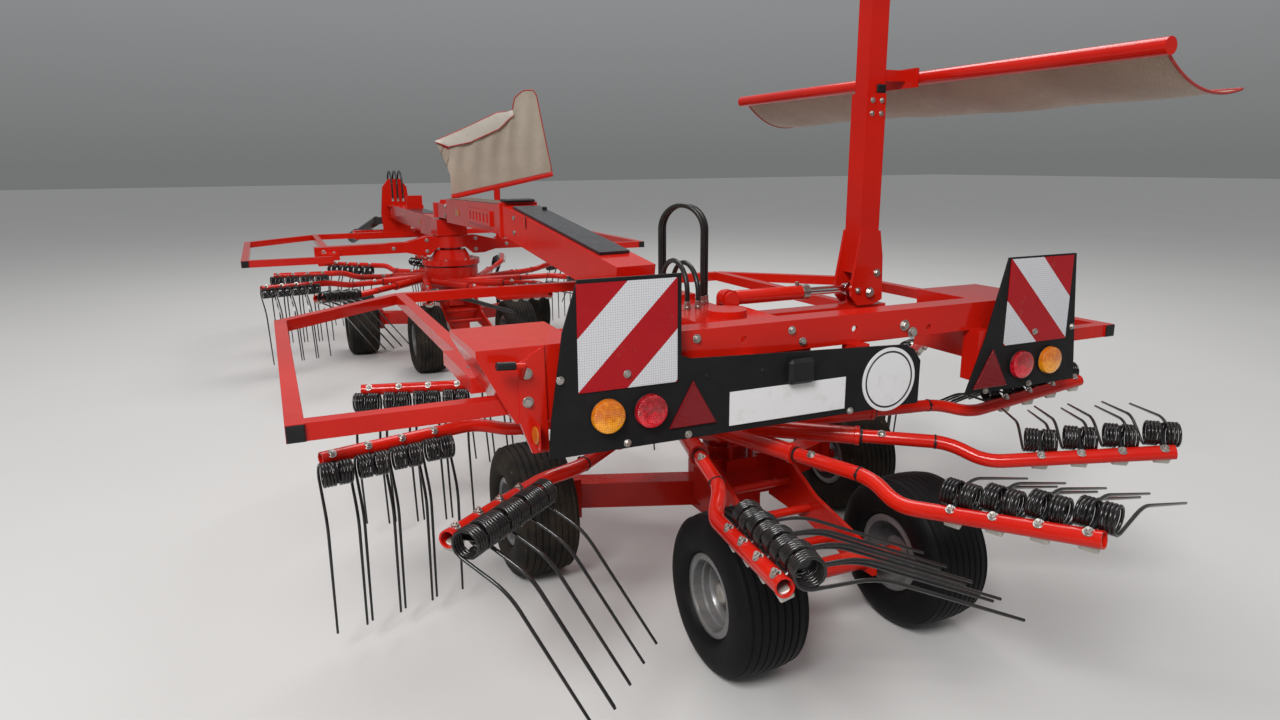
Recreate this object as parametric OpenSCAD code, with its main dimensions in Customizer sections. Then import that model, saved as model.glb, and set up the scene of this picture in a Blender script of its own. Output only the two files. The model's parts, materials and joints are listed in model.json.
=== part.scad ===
// Trailed twin rotor hay rake, millimetres, +Z up, +Y towards the tractor.
// Origin on the ground under the middle of the machine.

/* [Rotors] */
// Distance between the two rotor axes along the machine.
rotor_pitch_y = 3870; // [3500:10:4200]
// Sideways step of the front rotor axis against the rear one.
rotor_step_x = -160; // [-250:5:0]
// Height of the tine arms where they leave the hub.
arm_z = 550; // [520:1:580]
// Number of tine arms on each rotor.
arm_count = 11; // [9:1:13]
// Distance of an arm's line from the rotor axis.
arm_offset = 195; // [180:1:210]
// Direction of the first arm of the rear rotor.
rear_phase = -40.2; // [-90:0.1:90]
// Direction of the first arm of the front rotor.
front_phase = -32.4; // [-90:0.1:90]
// Radius of an arm's tube.
arm_r = 21; // [18:0.5:25]
// Radius of a hub socket.
socket_r = 28; // [25:0.5:32]
// Reach of a hub socket along its arm.
socket_end = 450; // [400:5:500]
// Start of the arm's crank.
crank_start = 727; // [700:1:750]
// End of the arm's crank.
crank_end = 837; // [800:1:860]
// Tip of the arm's tube.
arm_tip = 1330; // [1280:1:1360]
// Rise of the crank.
crank_up = 32; // [20:1:45]
// Forward set of the crank's end.
crank_lead = 42; // [30:1:55]
// Backward set of the arm's tip.
tip_trail = 33; // [20:1:45]
// Place of the first double tine along the arm.
tine_first = 985; // [960:1:1010]
// Distance between double tines.
tine_pitch = 105; // [95:1:120]
// Double tines on an arm.
tines = 4; // [3:1:4]
// Radius of a tine's wire.
wire_r = 4.8; // [4:0.1:6]
// Outer radius of a tine's coil.
coil_r = 37; // [34:0.5:38]
// Length of one coil.
coil_len = 36; // [32:1:40]
// Backward set of the coils against their arm.
coil_back = 47; // [45:1:50]
// Drop of the coils under their arm.
coil_down = 36; // [35:1:40]
// Length of the tine above its bend.
tine_upper = 135; // [110:1:160]
// Length of the tine below its bend.
tine_lower = 345; // [300:1:380]
// Backward lean of the tine above its bend.
tine_lean = 22; // [15:1:30]
// Forward lean of the tine below its bend.
tine_hook = 5; // [0:1:10]
// Radius of the turning hub drum.
drum_r = 196; // [180:1:210]
// Underside of the hub drum.
drum_z0 = 482; // [470:1:500]
// Top of the hub drum.
drum_z1 = 652; // [630:1:660]
// Radius of the fixed column inside the hub.
column_r = 55; // [50:1:60]

/* [Wheels] */
// Outer radius of a tyre.
tyre_r = 228.5; // [220:0.5:240]
// Half width of a tyre.
tyre_half = 108; // [95:1:115]
// Sideways place of the rear wheels of a rotor.
rear_track = 312; // [300:1:330]
// Place of the rear wheels behind the rotor axis.
rear_axle_y = 620; // [600:1:640]
// Sideways place of the front wheels of a rotor.
front_track = 662; // [640:1:680]
// Place of the front wheels ahead of the rotor axis.
front_axle_y = 177; // [160:1:190]
// Radius of the wheel pins.
axle_r = 19.7; // [15:0.1:22]

/* [Guards] */
// Half width over the middle of the outer guard tubes.
guard_half = 1400; // [1350:5:1450]
// Height of the middle of the guard tubes.
guard_z = 775; // [760:1:800]
// Section of the guard tubes.
guard_s = 45; // [40:1:50]
// Rear end of the outer guard tubes against the rotor axis.
guard_y0 = -400; // [-450:5:-350]
// Front end of the outer guard tubes.
guard_y1 = 1100; // [1050:5:1150]
// Front crossing of the guards.
guard_y2 = 1600; // [1550:5:1650]
// Half width of the inner guard tubes.
guard_in = 865; // [840:1:880]

/* [Frames] */
// Height of the rear crossbeam's middle.
cross_z = 900; // [880:1:920]
// Depth of the rear crossbeam.
cross_d = 80; // [70:1:90]
// Height of the rear crossbeam's section.
cross_h = 90; // [80:1:100]
// Half length of the rear crossbeam.
cross_half = 700; // [690:1:720]
// Wall of the rear crossbeam.
cross_t = 9; // [6:1:12]
// Place of the rear crossbeam behind the rear rotor axis.
cross_y = 420; // [400:1:440]
// Place of the vertical pin between beam and rear frame.
pin_y = 640; // [600:5:700]
// Place where the two lengths of the beam meet, ahead of the rear rotor axis.
knee_y = 1980; // [1900:10:2050]
// Height of the beam's knee.
knee_z = 1100; // [1080:1:1120]
// Width of the beam.
beam_w = 190; // [170:1:210]
// Height of the beam's section.
beam_h = 160; // [140:1:180]
// Height of the drawbar's middle.
drawbar_z = 930; // [900:1:960]
// Place of the hitch pin ahead of the front rotor axis.
hitch_y = 2540; // [2400:10:2700]
// Height of the lower link pins.
link_z = 690; // [600:5:750]
// Half distance between the shoulders of the lower link pins.
link_half = 412; // [410:1:440]
// Radius of the lower link pins.
link_r = 14; // [11:0.5:18.5]

/* [Boards] */
// Plane of the rear face of the light boards behind the rotor axis.
board_y = 510; // [500:1:520]
// Thickness of the light boards.
board_t = 8; // [5:1:12]
// Bottom edge of the light boards.
board_z0 = 653; // [645:1:670]
// Side of a square warning panel.
panel_s = 282; // [280:1:290]
// Radius of a lamp.
lamp_r = 47; // [40:1:55]
// Radius of the round plate.
disc_r = 100; // [90:1:110]

/* [Curtains] */
// Sideways place of the mast's pivot.
mast_x = 720; // [700:1:740]
// Place of the mast ahead of the rear rotor axis.
mast_y = 200; // [180:1:220]
// Height of the mast's pivot.
mast_z = 893; // [880:1:905]
// Section of the mast.
mast_s = 90; // [80:1:100]
// Top of the mast's lower box.
mast_seam = 1640; // [1600:5:1680]
// Top of the mast.
mast_top = 2120; // [2000:10:2200]
// Sideways place of the curtain tube.
tube_x = 900; // [880:1:920]
// Height of the curtain tube.
tube_z = 1695; // [1680:1:1710]
// Radius of the curtain tube.
tube_r = 25; // [20:1:30]
// Rear end of the curtain tube.
tube_y0 = -840; // [-860:5:-800]
// Front end of the curtain tube.
tube_y1 = 1430; // [1400:5:1460]
// Thickness of the cloth solids.
cloth_t = 12; // [8:1:20]
// Radius of the mast's pivot pin.
pivot_r = 14; // [12:1:18]
// Place of the cylinder's rear pin.
barrel_x = 120; // [110:5:140]
// Place of the rod's eye on the mast.
eye_x = 666; // [655:1:670]
// Height of the cylinder's pins.
cyl_z = 903; // [900:1:910]
// Radius of the cylinder's pins.
cyl_pin_r = 8; // [8:0.5:10]
// Play of the rod's eye round the mast's pin.
eye_play = 12.7; // [12:0.1:14]
// Radius of the rod's eye.
eye_r = 26; // [25:0.5:28]
// Half width of the cylinder's eyes.
eye_half = 15; // [12:1:18]
// Foot of the front curtain's post.
post_z = 832; // [820:1:840]
// Thickness of the frame's lugs.
lug_t = 17; // [12:1:20]
// Radius of a hose.
hose_r = 9; // [7:0.5:11]

/* [Hidden] */
$fn = 48;
rear_x = 80;
rear_y = -2880;
front_x = rear_x + rotor_step_x;
front_y = rear_y + rotor_pitch_y;
gap = 0.3;
step = 360 / arm_count;
paint = [0.83, 0.13, 0.07];
black = [0.05, 0.05, 0.06];
grey = [0.55, 0.56, 0.57];

// Roll of an arm by its direction, set by the cam: direction, roll.
ROLL = [[-180, 0], [-171, 3], [-138, 42], [-106, 74], [-73, 80], [-40, 86], [-7.5, 66], [25, 10], [42, 0], [180, 0]];

// Light board outlines, x and z.
BOARD_L = [[-810, board_z0], [-800, 760], [-765, 980], [-722, 1112], [-432, 1112], [-432, 890], [-400, 878], [330, 846],
    [370, 830], [400, 790], [400, board_z0]];
BOARD_R = [[600, board_z0], [668, 830], [741, 1090], [1041, 1090], [1062, 900], [1092, board_z0]];

// Lamps: x, z.
LAMPS = [[-650, 752], [-527, 751], [825, 734], [954, 736]];

// Triangular reflectors: left corner x, z, side, apex x step.
TRIANGLES = [[-469, 690, 145], [628, 668, 145]];

// Ladder bars of a chassis: distance behind the column, height.
LADDER = [[210, 372], [330, 318], [450, 262]];

// Frames of the two rotor units.
module at_rear() {
    translate([rear_x, rear_y, 0])
        children();
}

module at_front() {
    translate([front_x, front_y, 0])
        children();
}

module both_sides() {
    children();
    mirror([1, 0, 0])
        children();
}

// Round bar from p to q.
module rod(p, q, r) {
    d = q - p;
    translate(p)
        rotate([0, 90 - atan2(d.z, norm([d.x, d.y])), atan2(d.y, d.x)])
            cylinder(r = r, h = norm(d));
}

// Round bar with rounded ends from p to q.
module wire(p, q, r) {
    rod(p, q, r);
    translate(q)
        sphere(r = r);
}

// Box bar from p to q, w wide and h high.
module bar(p, q, w, h) {
    d = q - p;
    translate(p)
        rotate([0, -atan2(d.z, norm([d.x, d.y])), atan2(d.y, d.x)])
            translate([0, -w / 2, -h / 2])
                cube([norm(d), w, h]);
}

// Box by its two corners.
module box(a, b) {
    translate(a)
        cube(b - a);
}

// Plate in the XZ plane between y0 and y1.
module plate_xz(points, y0, y1) {
    translate([0, y1, 0])
        rotate([90, 0, 0])
            linear_extrude(height = y1 - y0)
                polygon(points);
}

// Plate in the YZ plane between x0 and x1, points as y and z.
module plate_yz(points, x0, x1) {
    translate([x0, 0, 0])
        rotate([90, 0, 90])
            linear_extrude(height = x1 - x0)
                polygon(points);
}

// Plate in the XY plane between z0 and z1.
module plate_xy(points, z0, z1) {
    translate([0, 0, z0])
        linear_extrude(height = z1 - z0)
            polygon(points);
}

// Hose that rises at p, bends over at height zs and comes down at q.
module arch(p, q, zp, zq, zs, r) {
    d = q - p;
    half = norm(d) / 2;
    translate([(p.x + q.x) / 2, (p.y + q.y) / 2, 0])
        rotate([0, 0, atan2(d.y, d.x)]) {
            translate([0, 0, zs])
                rotate([90, 0, 0])
                    rotate_extrude(angle = 180)
                        translate([half, 0])
                            circle(r = r);
            rod([-half, 0, zp], [-half, 0, zs], r);
            rod([half, 0, zq], [half, 0, zs], r);
        }
}

// Round plate about Y, between y0 and y1.
module disc_y(x, z, r, y0, y1) {
    translate([x, y0, z])
        rotate([-90, 0, 0])
            cylinder(r = r, h = y1 - y0);
}

// Rotor arms. In an arm's own frame X runs out, Y is trailing and Z up at no roll.
function outer_u(x) = crank_up;
function outer_l(x) = -crank_lead + (x - crank_end) * (crank_lead + tip_trail) / (arm_tip - crank_end);
function cam_roll(a) = lookup(a > 180 ? a - 360 : a, ROLL);

module coil(x) {
    translate([x - coil_len / 2, 0, 0])
        rotate([0, 90, 0])
            difference() {
                cylinder(r = coil_r, h = coil_len);
                translate([0, 0, -1])
                    cylinder(r = coil_r - 2 * wire_r, h = coil_len + 2);
            }
}

// One leg of a double tine: x is its station along the arm.
module tine_leg(x) {
    r = coil_r - wire_r;
    lean = [0, sin(tine_lean), -cos(tine_lean)];
    hook = [0, -sin(tine_hook), -cos(tine_hook)];
    start = [x, -r * cos(tine_lean), -r * sin(tine_lean)];
    bend = start + tine_upper * lean;
    rod(start - 8 * lean, bend, wire_r);
    translate(bend)
        sphere(r = wire_r + 0.5);
    rod(bend, bend + tine_lower * hook, wire_r);
}

// Double tine: two coils, a leg at each outer end, and the tab that carries them.
module double_tine(x) {
    translate([x, outer_l(x), outer_u(x)]) {
        translate([0, coil_back, -coil_down])
            for (s = [-1, 1]) {
                coil(s * (coil_len / 2 + 3));
                tine_leg(s * (coil_len + 3 + wire_r - 1.2));
            }
        rotate([-atan2(coil_back, -coil_down), 0, 0])
            translate([-5, -9, 10])
                cube([10, 18, norm([coil_back, coil_down]) + coil_r - 14]);
    }
}

// Clamp block under the tube and the bolt through it.
module tine_clamp(x) {
    translate([x, outer_l(x), outer_u(x)])
        rotate([-50, 0, 0]) {
            translate([-18, -14, -arm_r - 9])
                cube([36, 28, 16]);
            translate([0, 0, arm_r - 3])
                cylinder(r = 9, h = 10);
        }
}

crank0 = [crank_start, 0, 0];
crank1 = [crank_end, -crank_lead, crank_up];
tip = [arm_tip, tip_trail, crank_up];

module tine_arm() {
    inner = [socket_end, 0, 0];
    translate(inner)
        rotate([0, 90, 0])
            cylinder(r = socket_r + 3, h = 16);
    rod(inner, crank0, arm_r);
    translate(crank0)
        sphere(r = arm_r + 0.5);
    rod(crank0, crank1, arm_r);
    translate(crank1)
        sphere(r = arm_r + 0.5);
    difference() {
        rod(crank1, tip, arm_r);
        rod(tip - [60, 9, 0], tip + [5, 1, 0], arm_r - 4);
    }
    for (i = [0:tines - 1])
        tine_clamp(tine_first + i * tine_pitch);
}

// The four double tines of an arm, seated on its tube.
module arm_tines() {
    difference() {
        for (i = [0:tines - 1])
            double_tine(tine_first + i * tine_pitch);
        rod(crank1, tip + [20, 3, 0], arm_r + gap);
    }
}

module arm_frame(phase, i) {
    a = phase + i * step;
    rotate([0, 0, a])
        translate([0, -arm_offset, arm_z])
            rotate([cam_roll(a), 0, 0])
                children();
}

module rotor_arms(phase) {
    for (i = [0:arm_count - 1])
        arm_frame(phase, i)
            tine_arm();
}

module rotor_tines(phase) {
    for (i = [0:arm_count - 1])
        arm_frame(phase, i)
            arm_tines();
}

module rotor_hub(phase) {
    difference() {
        union() {
            translate([0, 0, drum_z0])
                cylinder(r = drum_r - 30, h = 20);
            translate([0, 0, drum_z0 + 20])
                cylinder(r = drum_r, h = drum_z1 - drum_z0 - 20);
            for (i = [0:arm_count - 1])
                rotate([0, 0, phase + i * step])
                    translate([40, -arm_offset, arm_z])
                        rotate([0, 90, 0])
                            cylinder(r = socket_r, h = socket_end - 40);
        }
        translate([0, 0, drum_z0 - 1])
            cylinder(r = column_r + gap, h = drum_z1 - drum_z0 + 2);
    }
}

// Fixed column and cover above the hub.
module column_core() {
    translate([0, 0, 66])
        cylinder(r = column_r, h = 620);
    translate([0, 0, 664])
        cylinder(r = 212, h = 40);
    translate([0, 0, 704])
        cylinder(r1 = 150, r2 = 110, h = 70);
}

// Chassis of one rotor, sliding on the column.
module chassis() {
    difference() {
        union() {
            box([-95, -95, 175], [95, 95, 400]);
            translate([0, 0, 400])
                cylinder(r = 78, h = 30);
            both_sides() {
                bar([70, 0, 262], [front_track - tyre_half - 22, front_axle_y, 262], 90, 90);
                box([front_track - tyre_half - 46, front_axle_y - 75, 190], [front_track - tyre_half - 14, front_axle_y + 75, 330]);
                plate_yz([[-95, 300], [-95, 430], [-160, 430], [-360, 330], [-rear_axle_y - 45, 262],
                    [-rear_axle_y - 45, 190], [-rear_axle_y + 70, 185], [-330, 230], [-95, 240]], 130, 145);
                box([90, -95, 250], [145, -40, 400]);
            }
            for (b = LADDER)
                translate([-140, -b[0], b[1] - 40])
                    rotate([0, 90, 0])
                        cylinder(r = 14, h = 280);
            translate([0, -rear_axle_y, tyre_r])
                rotate([0, 90, 0])
                    translate([0, 0, -(rear_track - tyre_half - 6)])
                        cylinder(r = 30, h = 2 * (rear_track - tyre_half - 6));
            // Handle on the column box.
            rod([-40, -110, 400], [-40, -110, 452], 9);
            rod([40, -110, 400], [40, -110, 452], 9);
            rod([-40, -110, 452], [40, -110, 452], 9);
            for (s = [-1, 1])
                translate([40 * s, -110, 452])
                    sphere(r = 9);
            box([-60, -125, 360], [60, -90, 402]);
        }
        translate([0, 0, 100])
            cylinder(r = column_r + gap, h = 400);
    }
    // Wheel pins.
    for (s = [-1, 1]) {
        translate([s * (front_track - tyre_half - 30), front_axle_y, tyre_r])
            rotate([0, s * 90, 0])
                cylinder(r = axle_r, h = 120);
        translate([s * (rear_track - tyre_half - 20), -rear_axle_y, tyre_r])
            rotate([0, s * 90, 0])
                cylinder(r = axle_r, h = 110);
    }
}

// Wheel, turning about X, its dished side to +X.
TYRE = [[104, -84], [119, -84], [126, -99], [150, -107], [178, -108], [204, -101], [219, -91], [227, -78], [228.5, -60],
    [228.5, 60], [227, 78], [219, 91], [204, 101], [178, 108], [150, 107], [126, 99], [119, 84], [104, 84]];
RIM = [[20, -56], [46, -56], [46, -22], [60, -14], [92, -14], [97, -30], [97, -84], [97, -91], [118, -91], [118, -84.3],
    [103.7, -84.3], [103.7, 84.3], [118, 84.3], [118, 91], [97, 91], [97, 30], [92, 2], [60, 2], [44, 10], [34, 34],
    [34, 52], [20, 58]];

module tyre() {
    rotate([0, 90, 0])
        rotate_extrude()
            polygon(TYRE);
}

module rim() {
    rotate([0, 90, 0])
        difference() {
            rotate_extrude()
                polygon(RIM);
        }
    translate([50, 0, 0])
        rotate([0, 90, 0])
            cylinder(r = 20, h = 8);
}

// Places of a unit's wheels: x, y, side.
WHEELS = [[-front_track, front_axle_y, -1], [front_track, front_axle_y, 1], [-rear_track, -rear_axle_y, -1],
    [rear_track, -rear_axle_y, 1]];

module place_wheel(k) {
    w = WHEELS[k];
    translate([w[0], w[1], tyre_r])
        mirror([w[2] < 0 ? 1 : 0, 0, 0])
            children();
}

// Guards of one unit: outer tube, rear and front tubes, inner tube and front crossing.
module guard_side() {
    h = guard_s / 2;
    difference() {
        union() {
            box([guard_half - h, guard_y0, guard_z - h], [guard_half + h, guard_y1, guard_z + h]);
            box([guard_in, guard_y0 + 4, guard_z - h], [guard_half, guard_y0 + 4 + guard_s, guard_z + h]);
            bar([guard_half, guard_y1 - 12, guard_z], [guard_in, guard_y2, guard_z], guard_s, guard_s);
            box([guard_in - h, -200, guard_z - h], [guard_in + h, guard_y2, guard_z + h]);
        }
    }
}

module guards() {
    h = guard_s / 2;
    both_sides()
        guard_side();
    box([-guard_in, guard_y2 - h, guard_z - h], [guard_in, guard_y2 + h, guard_z + h]);
}

// Front unit.
module front_column() {
    color(paint)
        at_front() {
            column_core();
            translate([0, 0, 770])
                cylinder(r = 78, h = 150);
            box([-110, -110, 880], [110, 140, 1000]);
            translate([0, 0, 995])
                cylinder(r = 45, h = 140);
            // Ring under the beam's eye, and the cap over it.
            translate([0, 0, 1000])
                cylinder(r = 70, h = 12 - gap);
            translate([0, 0, 1118 + gap])
                cylinder(r = 56, h = 20);
        }
}

module front_crossbeam() {
    color(paint)
        at_front() {
            // Flanges round the column's neck.
            difference() {
                translate([0, 0, 792])
                    cylinder(r = 130, h = 84);
                translate([0, 0, 780])
                    cylinder(r = 78 + gap, h = 110);
            }
            both_sides() {
                plate_xz([[100, 792], [100, 876], [180, 876], [330, 838], [960, 830], [960, 770], [940, 700], [850, 700],
                    [820, 765], [330, 765], [240, 740], [160, 740]], -60, 40);
                box([guard_in - 60, -205, 752], [guard_in + 60, 45, 798]);
            }
            // Bracket of the curtain post.
            box([350, 30, 780], [450, 125, post_z]);
        }
}

module front_guards() {
    color(paint)
        at_front()
            difference() {
                guards();
                both_sides()
                    box([guard_in - 60 - gap, -205 - gap, 752 - gap], [guard_in + 60 + gap, 45 + gap, 798 + gap]);
            }
}

module drawbar() {
    color(paint)
        at_front() {
            box([-80, 140, drawbar_z - 70], [80, hitch_y - 150, drawbar_z + 70]);
            plate_xz([[-95, drawbar_z - 82], [95, drawbar_z - 82], [80, drawbar_z + 70], [-80, drawbar_z + 70]], 140, 700);
            // Eye around the hitch pin.
            difference() {
                union() {
                    translate([0, hitch_y, drawbar_z - 40])
                        cylinder(r = 75, h = 80);
                    box([-60, hitch_y - 152, drawbar_z - 40], [60, hitch_y, drawbar_z + 40]);
                }
                translate([0, hitch_y, drawbar_z - 50])
                    cylinder(r = 30 + gap, h = 100);
            }
            // Sleeve of the parking leg.
            difference() {
                box([80, 1960, 700], [170, 2050, 960]);
                box([90 - gap, 1970 - gap, 690], [160 + gap, 2040 + gap, 970]);
            }
            // Plate for the hoses.
            box([-70, 1500, drawbar_z + 70], [70, 1512, drawbar_z + 190]);
        }
}

module headstock() {
    color(paint)
        at_front()
            translate([0, hitch_y, 0]) {
                // Lugs above and below the drawbar's eye, with the pin.
                difference() {
                    union() {
                        box([-90, -70, drawbar_z + 46], [90, 190, drawbar_z + 66]);
                        box([-90, -70, drawbar_z - 66], [90, 190, drawbar_z - 46]);
                    }
                }
                translate([0, 0, drawbar_z - 80])
                    cylinder(r = 30, h = 160);
                // Tower.
                plate_xz([[-135, link_z], [-150, 900], [-120, 1170], [-60, 1250], [60, 1250], [120, 1170], [150, 900],
                    [135, link_z]], 150, 190);
                both_sides() {
                    plate_yz([[190, 720], [190, 1180], [215, 1180], [300, 760], [300, 720]], 100, 116);
                    translate([link_half + 5, 250, link_z])
                        rotate([0, 90, 0])
                            cylinder(r = 45, h = 18);
                    translate([link_half - 20, 250, link_z])
                        rotate([0, 90, 0])
                            cylinder(r = link_r, h = 112);
                }
                box([-link_half - 5, 185, link_z - 45], [link_half + 5, 295, link_z + 45]);
                // Holders of the hoses.
                box([-70, -60, drawbar_z + 60], [70, -20, drawbar_z + 100]);
                box([-105, 185, 1000], [105, 275, 1012]);
            }
}

module pto_shaft() {
    color(black)
        at_front()
            translate([0, hitch_y, 0]) {
                rod([-190, 225, 830], [-330, 520, 700], 45);
                rod([-204, 254, 817], [-378, 620, 656], 34);
                rod([-361, 585, 671], [-407, 682, 628], 60);
                // Holder on the tower's front face.
                box([-215, 190 + gap, 795], [-117, 228, 865]);
            }
}

// Hose loops from the hitch pin's head over the tower to a shelf behind it.
module hitch_hoses() {
    color(black)
        at_front()
            translate([0, hitch_y, 0])
                for (x = [-50, 0, 50])
                    arch([x, -40], [x, 255], drawbar_z + 100 + gap, 1012 + gap, 1180, hose_r);
}

module parking_leg() {
    color(paint)
        at_front() {
            box([90, 1970, 12], [160, 2040, 1010]);
            box([45, 1925, 0], [205, 2085, 12]);
            box([100, 1960, 985], [150, 2050, 1015]);
        }
}

module front_hub() {
    color(paint)
        at_front()
            rotor_hub(front_phase);
}

module front_arms() {
    color(paint)
        at_front()
            rotor_arms(front_phase);
}

module front_tines() {
    color(black)
        at_front()
            rotor_tines(front_phase);
}

module front_chassis() {
    color(paint)
        at_front()
            chassis();
}

// Folded front curtain, standing above the front rotor on its post.
FRONT_BAR = [[50, 1150], [850, 1309]];
FRONT_CLOTH = [[50, 1164], [850, 1323], [790, 1640], [745, 1900], [720, 1940], [640, 1935], [570, 1880], [545, 1780],
    [430, 1770], [200, 1665], [-50, 1560], [50, 1500]];

module front_curtain_rail() {
    color(paint)
        at_front() {
            rod([50, 85, FRONT_BAR[0][1]], [850, 85, FRONT_BAR[1][1]], 18);
            translate([400, 85, post_z + gap])
                cylinder(r = 24, h = 1209 - post_z);
            translate([400, 85, post_z + gap])
                cylinder(r = 40, h = 12);
        }
}

module front_curtain_cloth() {
    color([0.7, 0.62, 0.5])
        at_front()
            difference() {
                plate_xz(FRONT_CLOTH, 85 - cloth_t / 2, 85 + cloth_t / 2);
                rod([0, 85, 1140.06], [900, 85, 1318.94], 18.3);
                translate([400, 85, 834])
                    cylinder(r = 24.3, h = 375.3);
            }
}

// Beam from the front rotor's head to the rear frame.
module beam() {
    fy = rotor_pitch_y;
    fx = rotor_step_x;
    knee = [fx, knee_y, knee_z];
    foot = [-8, pin_y + 120, 893];
    color(paint)
        at_rear() {
            difference() {
                union() {
                    translate([fx, fy, 1012])
                        cylinder(r = 108, h = 106);
                    bar([fx, fy - 60, 1065], knee, beam_w - 10, 100);
                    bar([fx, fy - 420, 1079], knee, beam_w, beam_h);
                    bar(knee, foot, beam_w, beam_h);
                    // End plates at the knee.
                    box([fx - 105, knee_y - 10, knee_z - 92], [fx + 105, knee_y + 22, knee_z + 92]);
                    // Clevis plates.
                    box([-75, pin_y - 60, 905], [75, pin_y + 150, 925]);
                    box([-75, pin_y - 60, 827], [75, pin_y + 150, 847]);
                    box([-75, pin_y + 100, 827], [75, pin_y + 150, 925]);
                    // Slotted plate on the left side.
                    box([fx - beam_w / 2 - 14, knee_y + 200, 1050], [fx - beam_w / 2 + 2, knee_y + 760, 1135]);
                }
                translate([fx, fy, 1000])
                    cylinder(r = 45 + gap, h = 140);
                for (k = [0:5])
                    box([fx - beam_w / 2 - 20, knee_y + 240 + 84 * k, 1068], [fx - beam_w / 2 - 4, knee_y + 270 + 84 * k, 1118]);
            }
            translate([0, pin_y, 812])
                cylinder(r = 25, h = 128);
        }
}

// Dark cover plate on the sloping length of the beam.
module beam_cover() {
    knee = [rotor_step_x, knee_y, knee_z];
    foot = [-8, pin_y + 120, 893];
    d = foot - knee;
    up = [0, 0, beam_h / 2 + 8.3];
    color(black)
        at_rear()
            difference() {
                bar(knee + 0.09 * d + up, knee + 0.86 * d + up, 150, 14);
                bar(knee, foot, beam_w + 2, beam_h);
            }
}

// Rear unit.
module rear_column() {
    color(paint)
        at_rear() {
            column_core();
            translate([0, 0, 770])
                cylinder(r = 120, h = 70);
            box([-150, -150, 800], [150, 150, 880]);
            translate([0, 0, 880])
                cylinder(r = 70, h = 24);
            // Spine from the crossbeam to the hinge tongue.
            box([-80, -cross_y + cross_d / 2, 810], [80, pin_y - 210, 880]);
            difference() {
                union() {
                    box([-70, pin_y - 212, 853], [70, pin_y, 899]);
                    translate([0, pin_y, 853])
                        cylinder(r = 70, h = 46);
                }
                translate([0, pin_y, 840])
                    cylinder(r = 25 + gap, h = 70);
            }
            // Side arms to the guards and the mast, seated on the guards' brackets.
            both_sides()
                box([70, mast_y - 40, 798 + gap], [guard_in - 40, mast_y + 40, 838]);
            // Holder of the hoses.
            box([-75, 370, 870], [75, 428, 900]);
            // Lugs of the mast's pivot and of the cylinder, with their pins.
            for (s = [-1, 1]) {
                y0 = mast_y + s * (eye_half + 5 + lug_t / 2) - lug_t / 2;
                disc_y(mast_x, mast_z, 40, y0, y0 + lug_t);
                box([mast_x - 40, y0, 830], [mast_x + 40, y0 + lug_t, mast_z]);
                disc_y(barrel_x, cyl_z, 28, y0, y0 + lug_t);
                box([barrel_x - 28, y0, 830], [barrel_x + 28, y0 + lug_t, cyl_z]);
            }
            disc_y(mast_x, mast_z, pivot_r, mast_y - 66, mast_y + 66);
            disc_y(barrel_x, cyl_z, cyl_pin_r, mast_y - eye_half - 15, mast_y + eye_half + 15);
        }
}

// Holes in the rear wall of the crossbeam: x, z.
BEAM_HOLES = [[-208, 903], [-520, 903], [470, 880], [180, 900]];

module rear_crossbeam() {
    rear_face = -cross_y - cross_d / 2;
    color(paint)
        at_rear() {
            difference() {
                box([-cross_half, rear_face, cross_z - cross_h / 2], [cross_half, -cross_y + cross_d / 2, cross_z + cross_h / 2]);
                // The folded section is open to the front.
                box([-cross_half + 10, rear_face + cross_t, cross_z - cross_h / 2 + cross_t],
                    [cross_half - 10, -cross_y + cross_d / 2 + 1, cross_z + cross_h / 2 - cross_t]);
                for (h = BEAM_HOLES)
                    disc_y(h[0], h[1], 10, rear_face - 1, rear_face + cross_t + 1);
            }
            // Brackets that carry the light boards below the crossbeam.
            for (x = [60 - cross_half, -200, 180, cross_half - 30])
                box([x - 25, -board_y + board_t, 690], [x + 25, rear_face + 25, cross_z - cross_h / 2 + 4]);
        }
}

// Outline of a rear side box, which starts at the crossbeam's end, grown by g.
function side_box(g) = [[cross_half - g, cross_z + cross_h / 2 + g], [975 + g, cross_z + cross_h / 2 + g],
    [975 + g, 925], [880 + g, 745 - g], [cross_half - g, 745 - g]];

module rear_side_boxes() {
    color(paint) {
        at_rear()
            both_sides() {
                plate_xz(side_box(0), -cross_y - cross_d / 2, -150);
                plate_xz([[795, 660], [800, cross_z + cross_h / 2], [870, 900], [870, 745], [840, 660]],
                    -cross_y - cross_d / 2 - 5, -cross_y - cross_d / 2 + 10);
                box([guard_in - 60, -150, 752], [guard_in + 60, 245, 798]);
            }
        // Latch lever on the left side.
        at_rear() {
            rod([-862, -457, 860], [-862, -500, 905], 6);
            rod([-862, -500, 905], [-930, -505, 912], 8);
        }
    }
}

module rear_guards() {
    color(paint)
        at_rear()
            difference() {
                guards();
                both_sides() {
                    box([guard_in - 60 - gap, -206, 752 - gap], [guard_in + 60 + gap, 245 + gap, 798 + gap]);
                    plate_xz(side_box(gap), -cross_y - cross_d / 2 - gap, -150 + gap);
                }
            }
}

// Hose loops behind the hinge: feet p and q, height of the bend's ends.
REAR_LOOPS = [[[-60, 400], [40, 250], 1150], [[-38, 416], [62, 266], 1150], [[-64, 380], [-64, 170], 940],
    [[-20, 380], [-20, 170], 930]];

module rear_hoses() {
    color(black)
        at_rear()
            for (h = REAR_LOOPS)
                arch(h[0], h[1], 900 + gap, 880 + gap, h[2], hose_r);
}

module rear_hub() {
    color(paint)
        at_rear()
            rotor_hub(rear_phase);
}

module rear_arms() {
    color(paint)
        at_rear()
            rotor_arms(rear_phase);
}

module rear_tines() {
    color(black)
        at_rear()
            rotor_tines(rear_phase);
}

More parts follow.
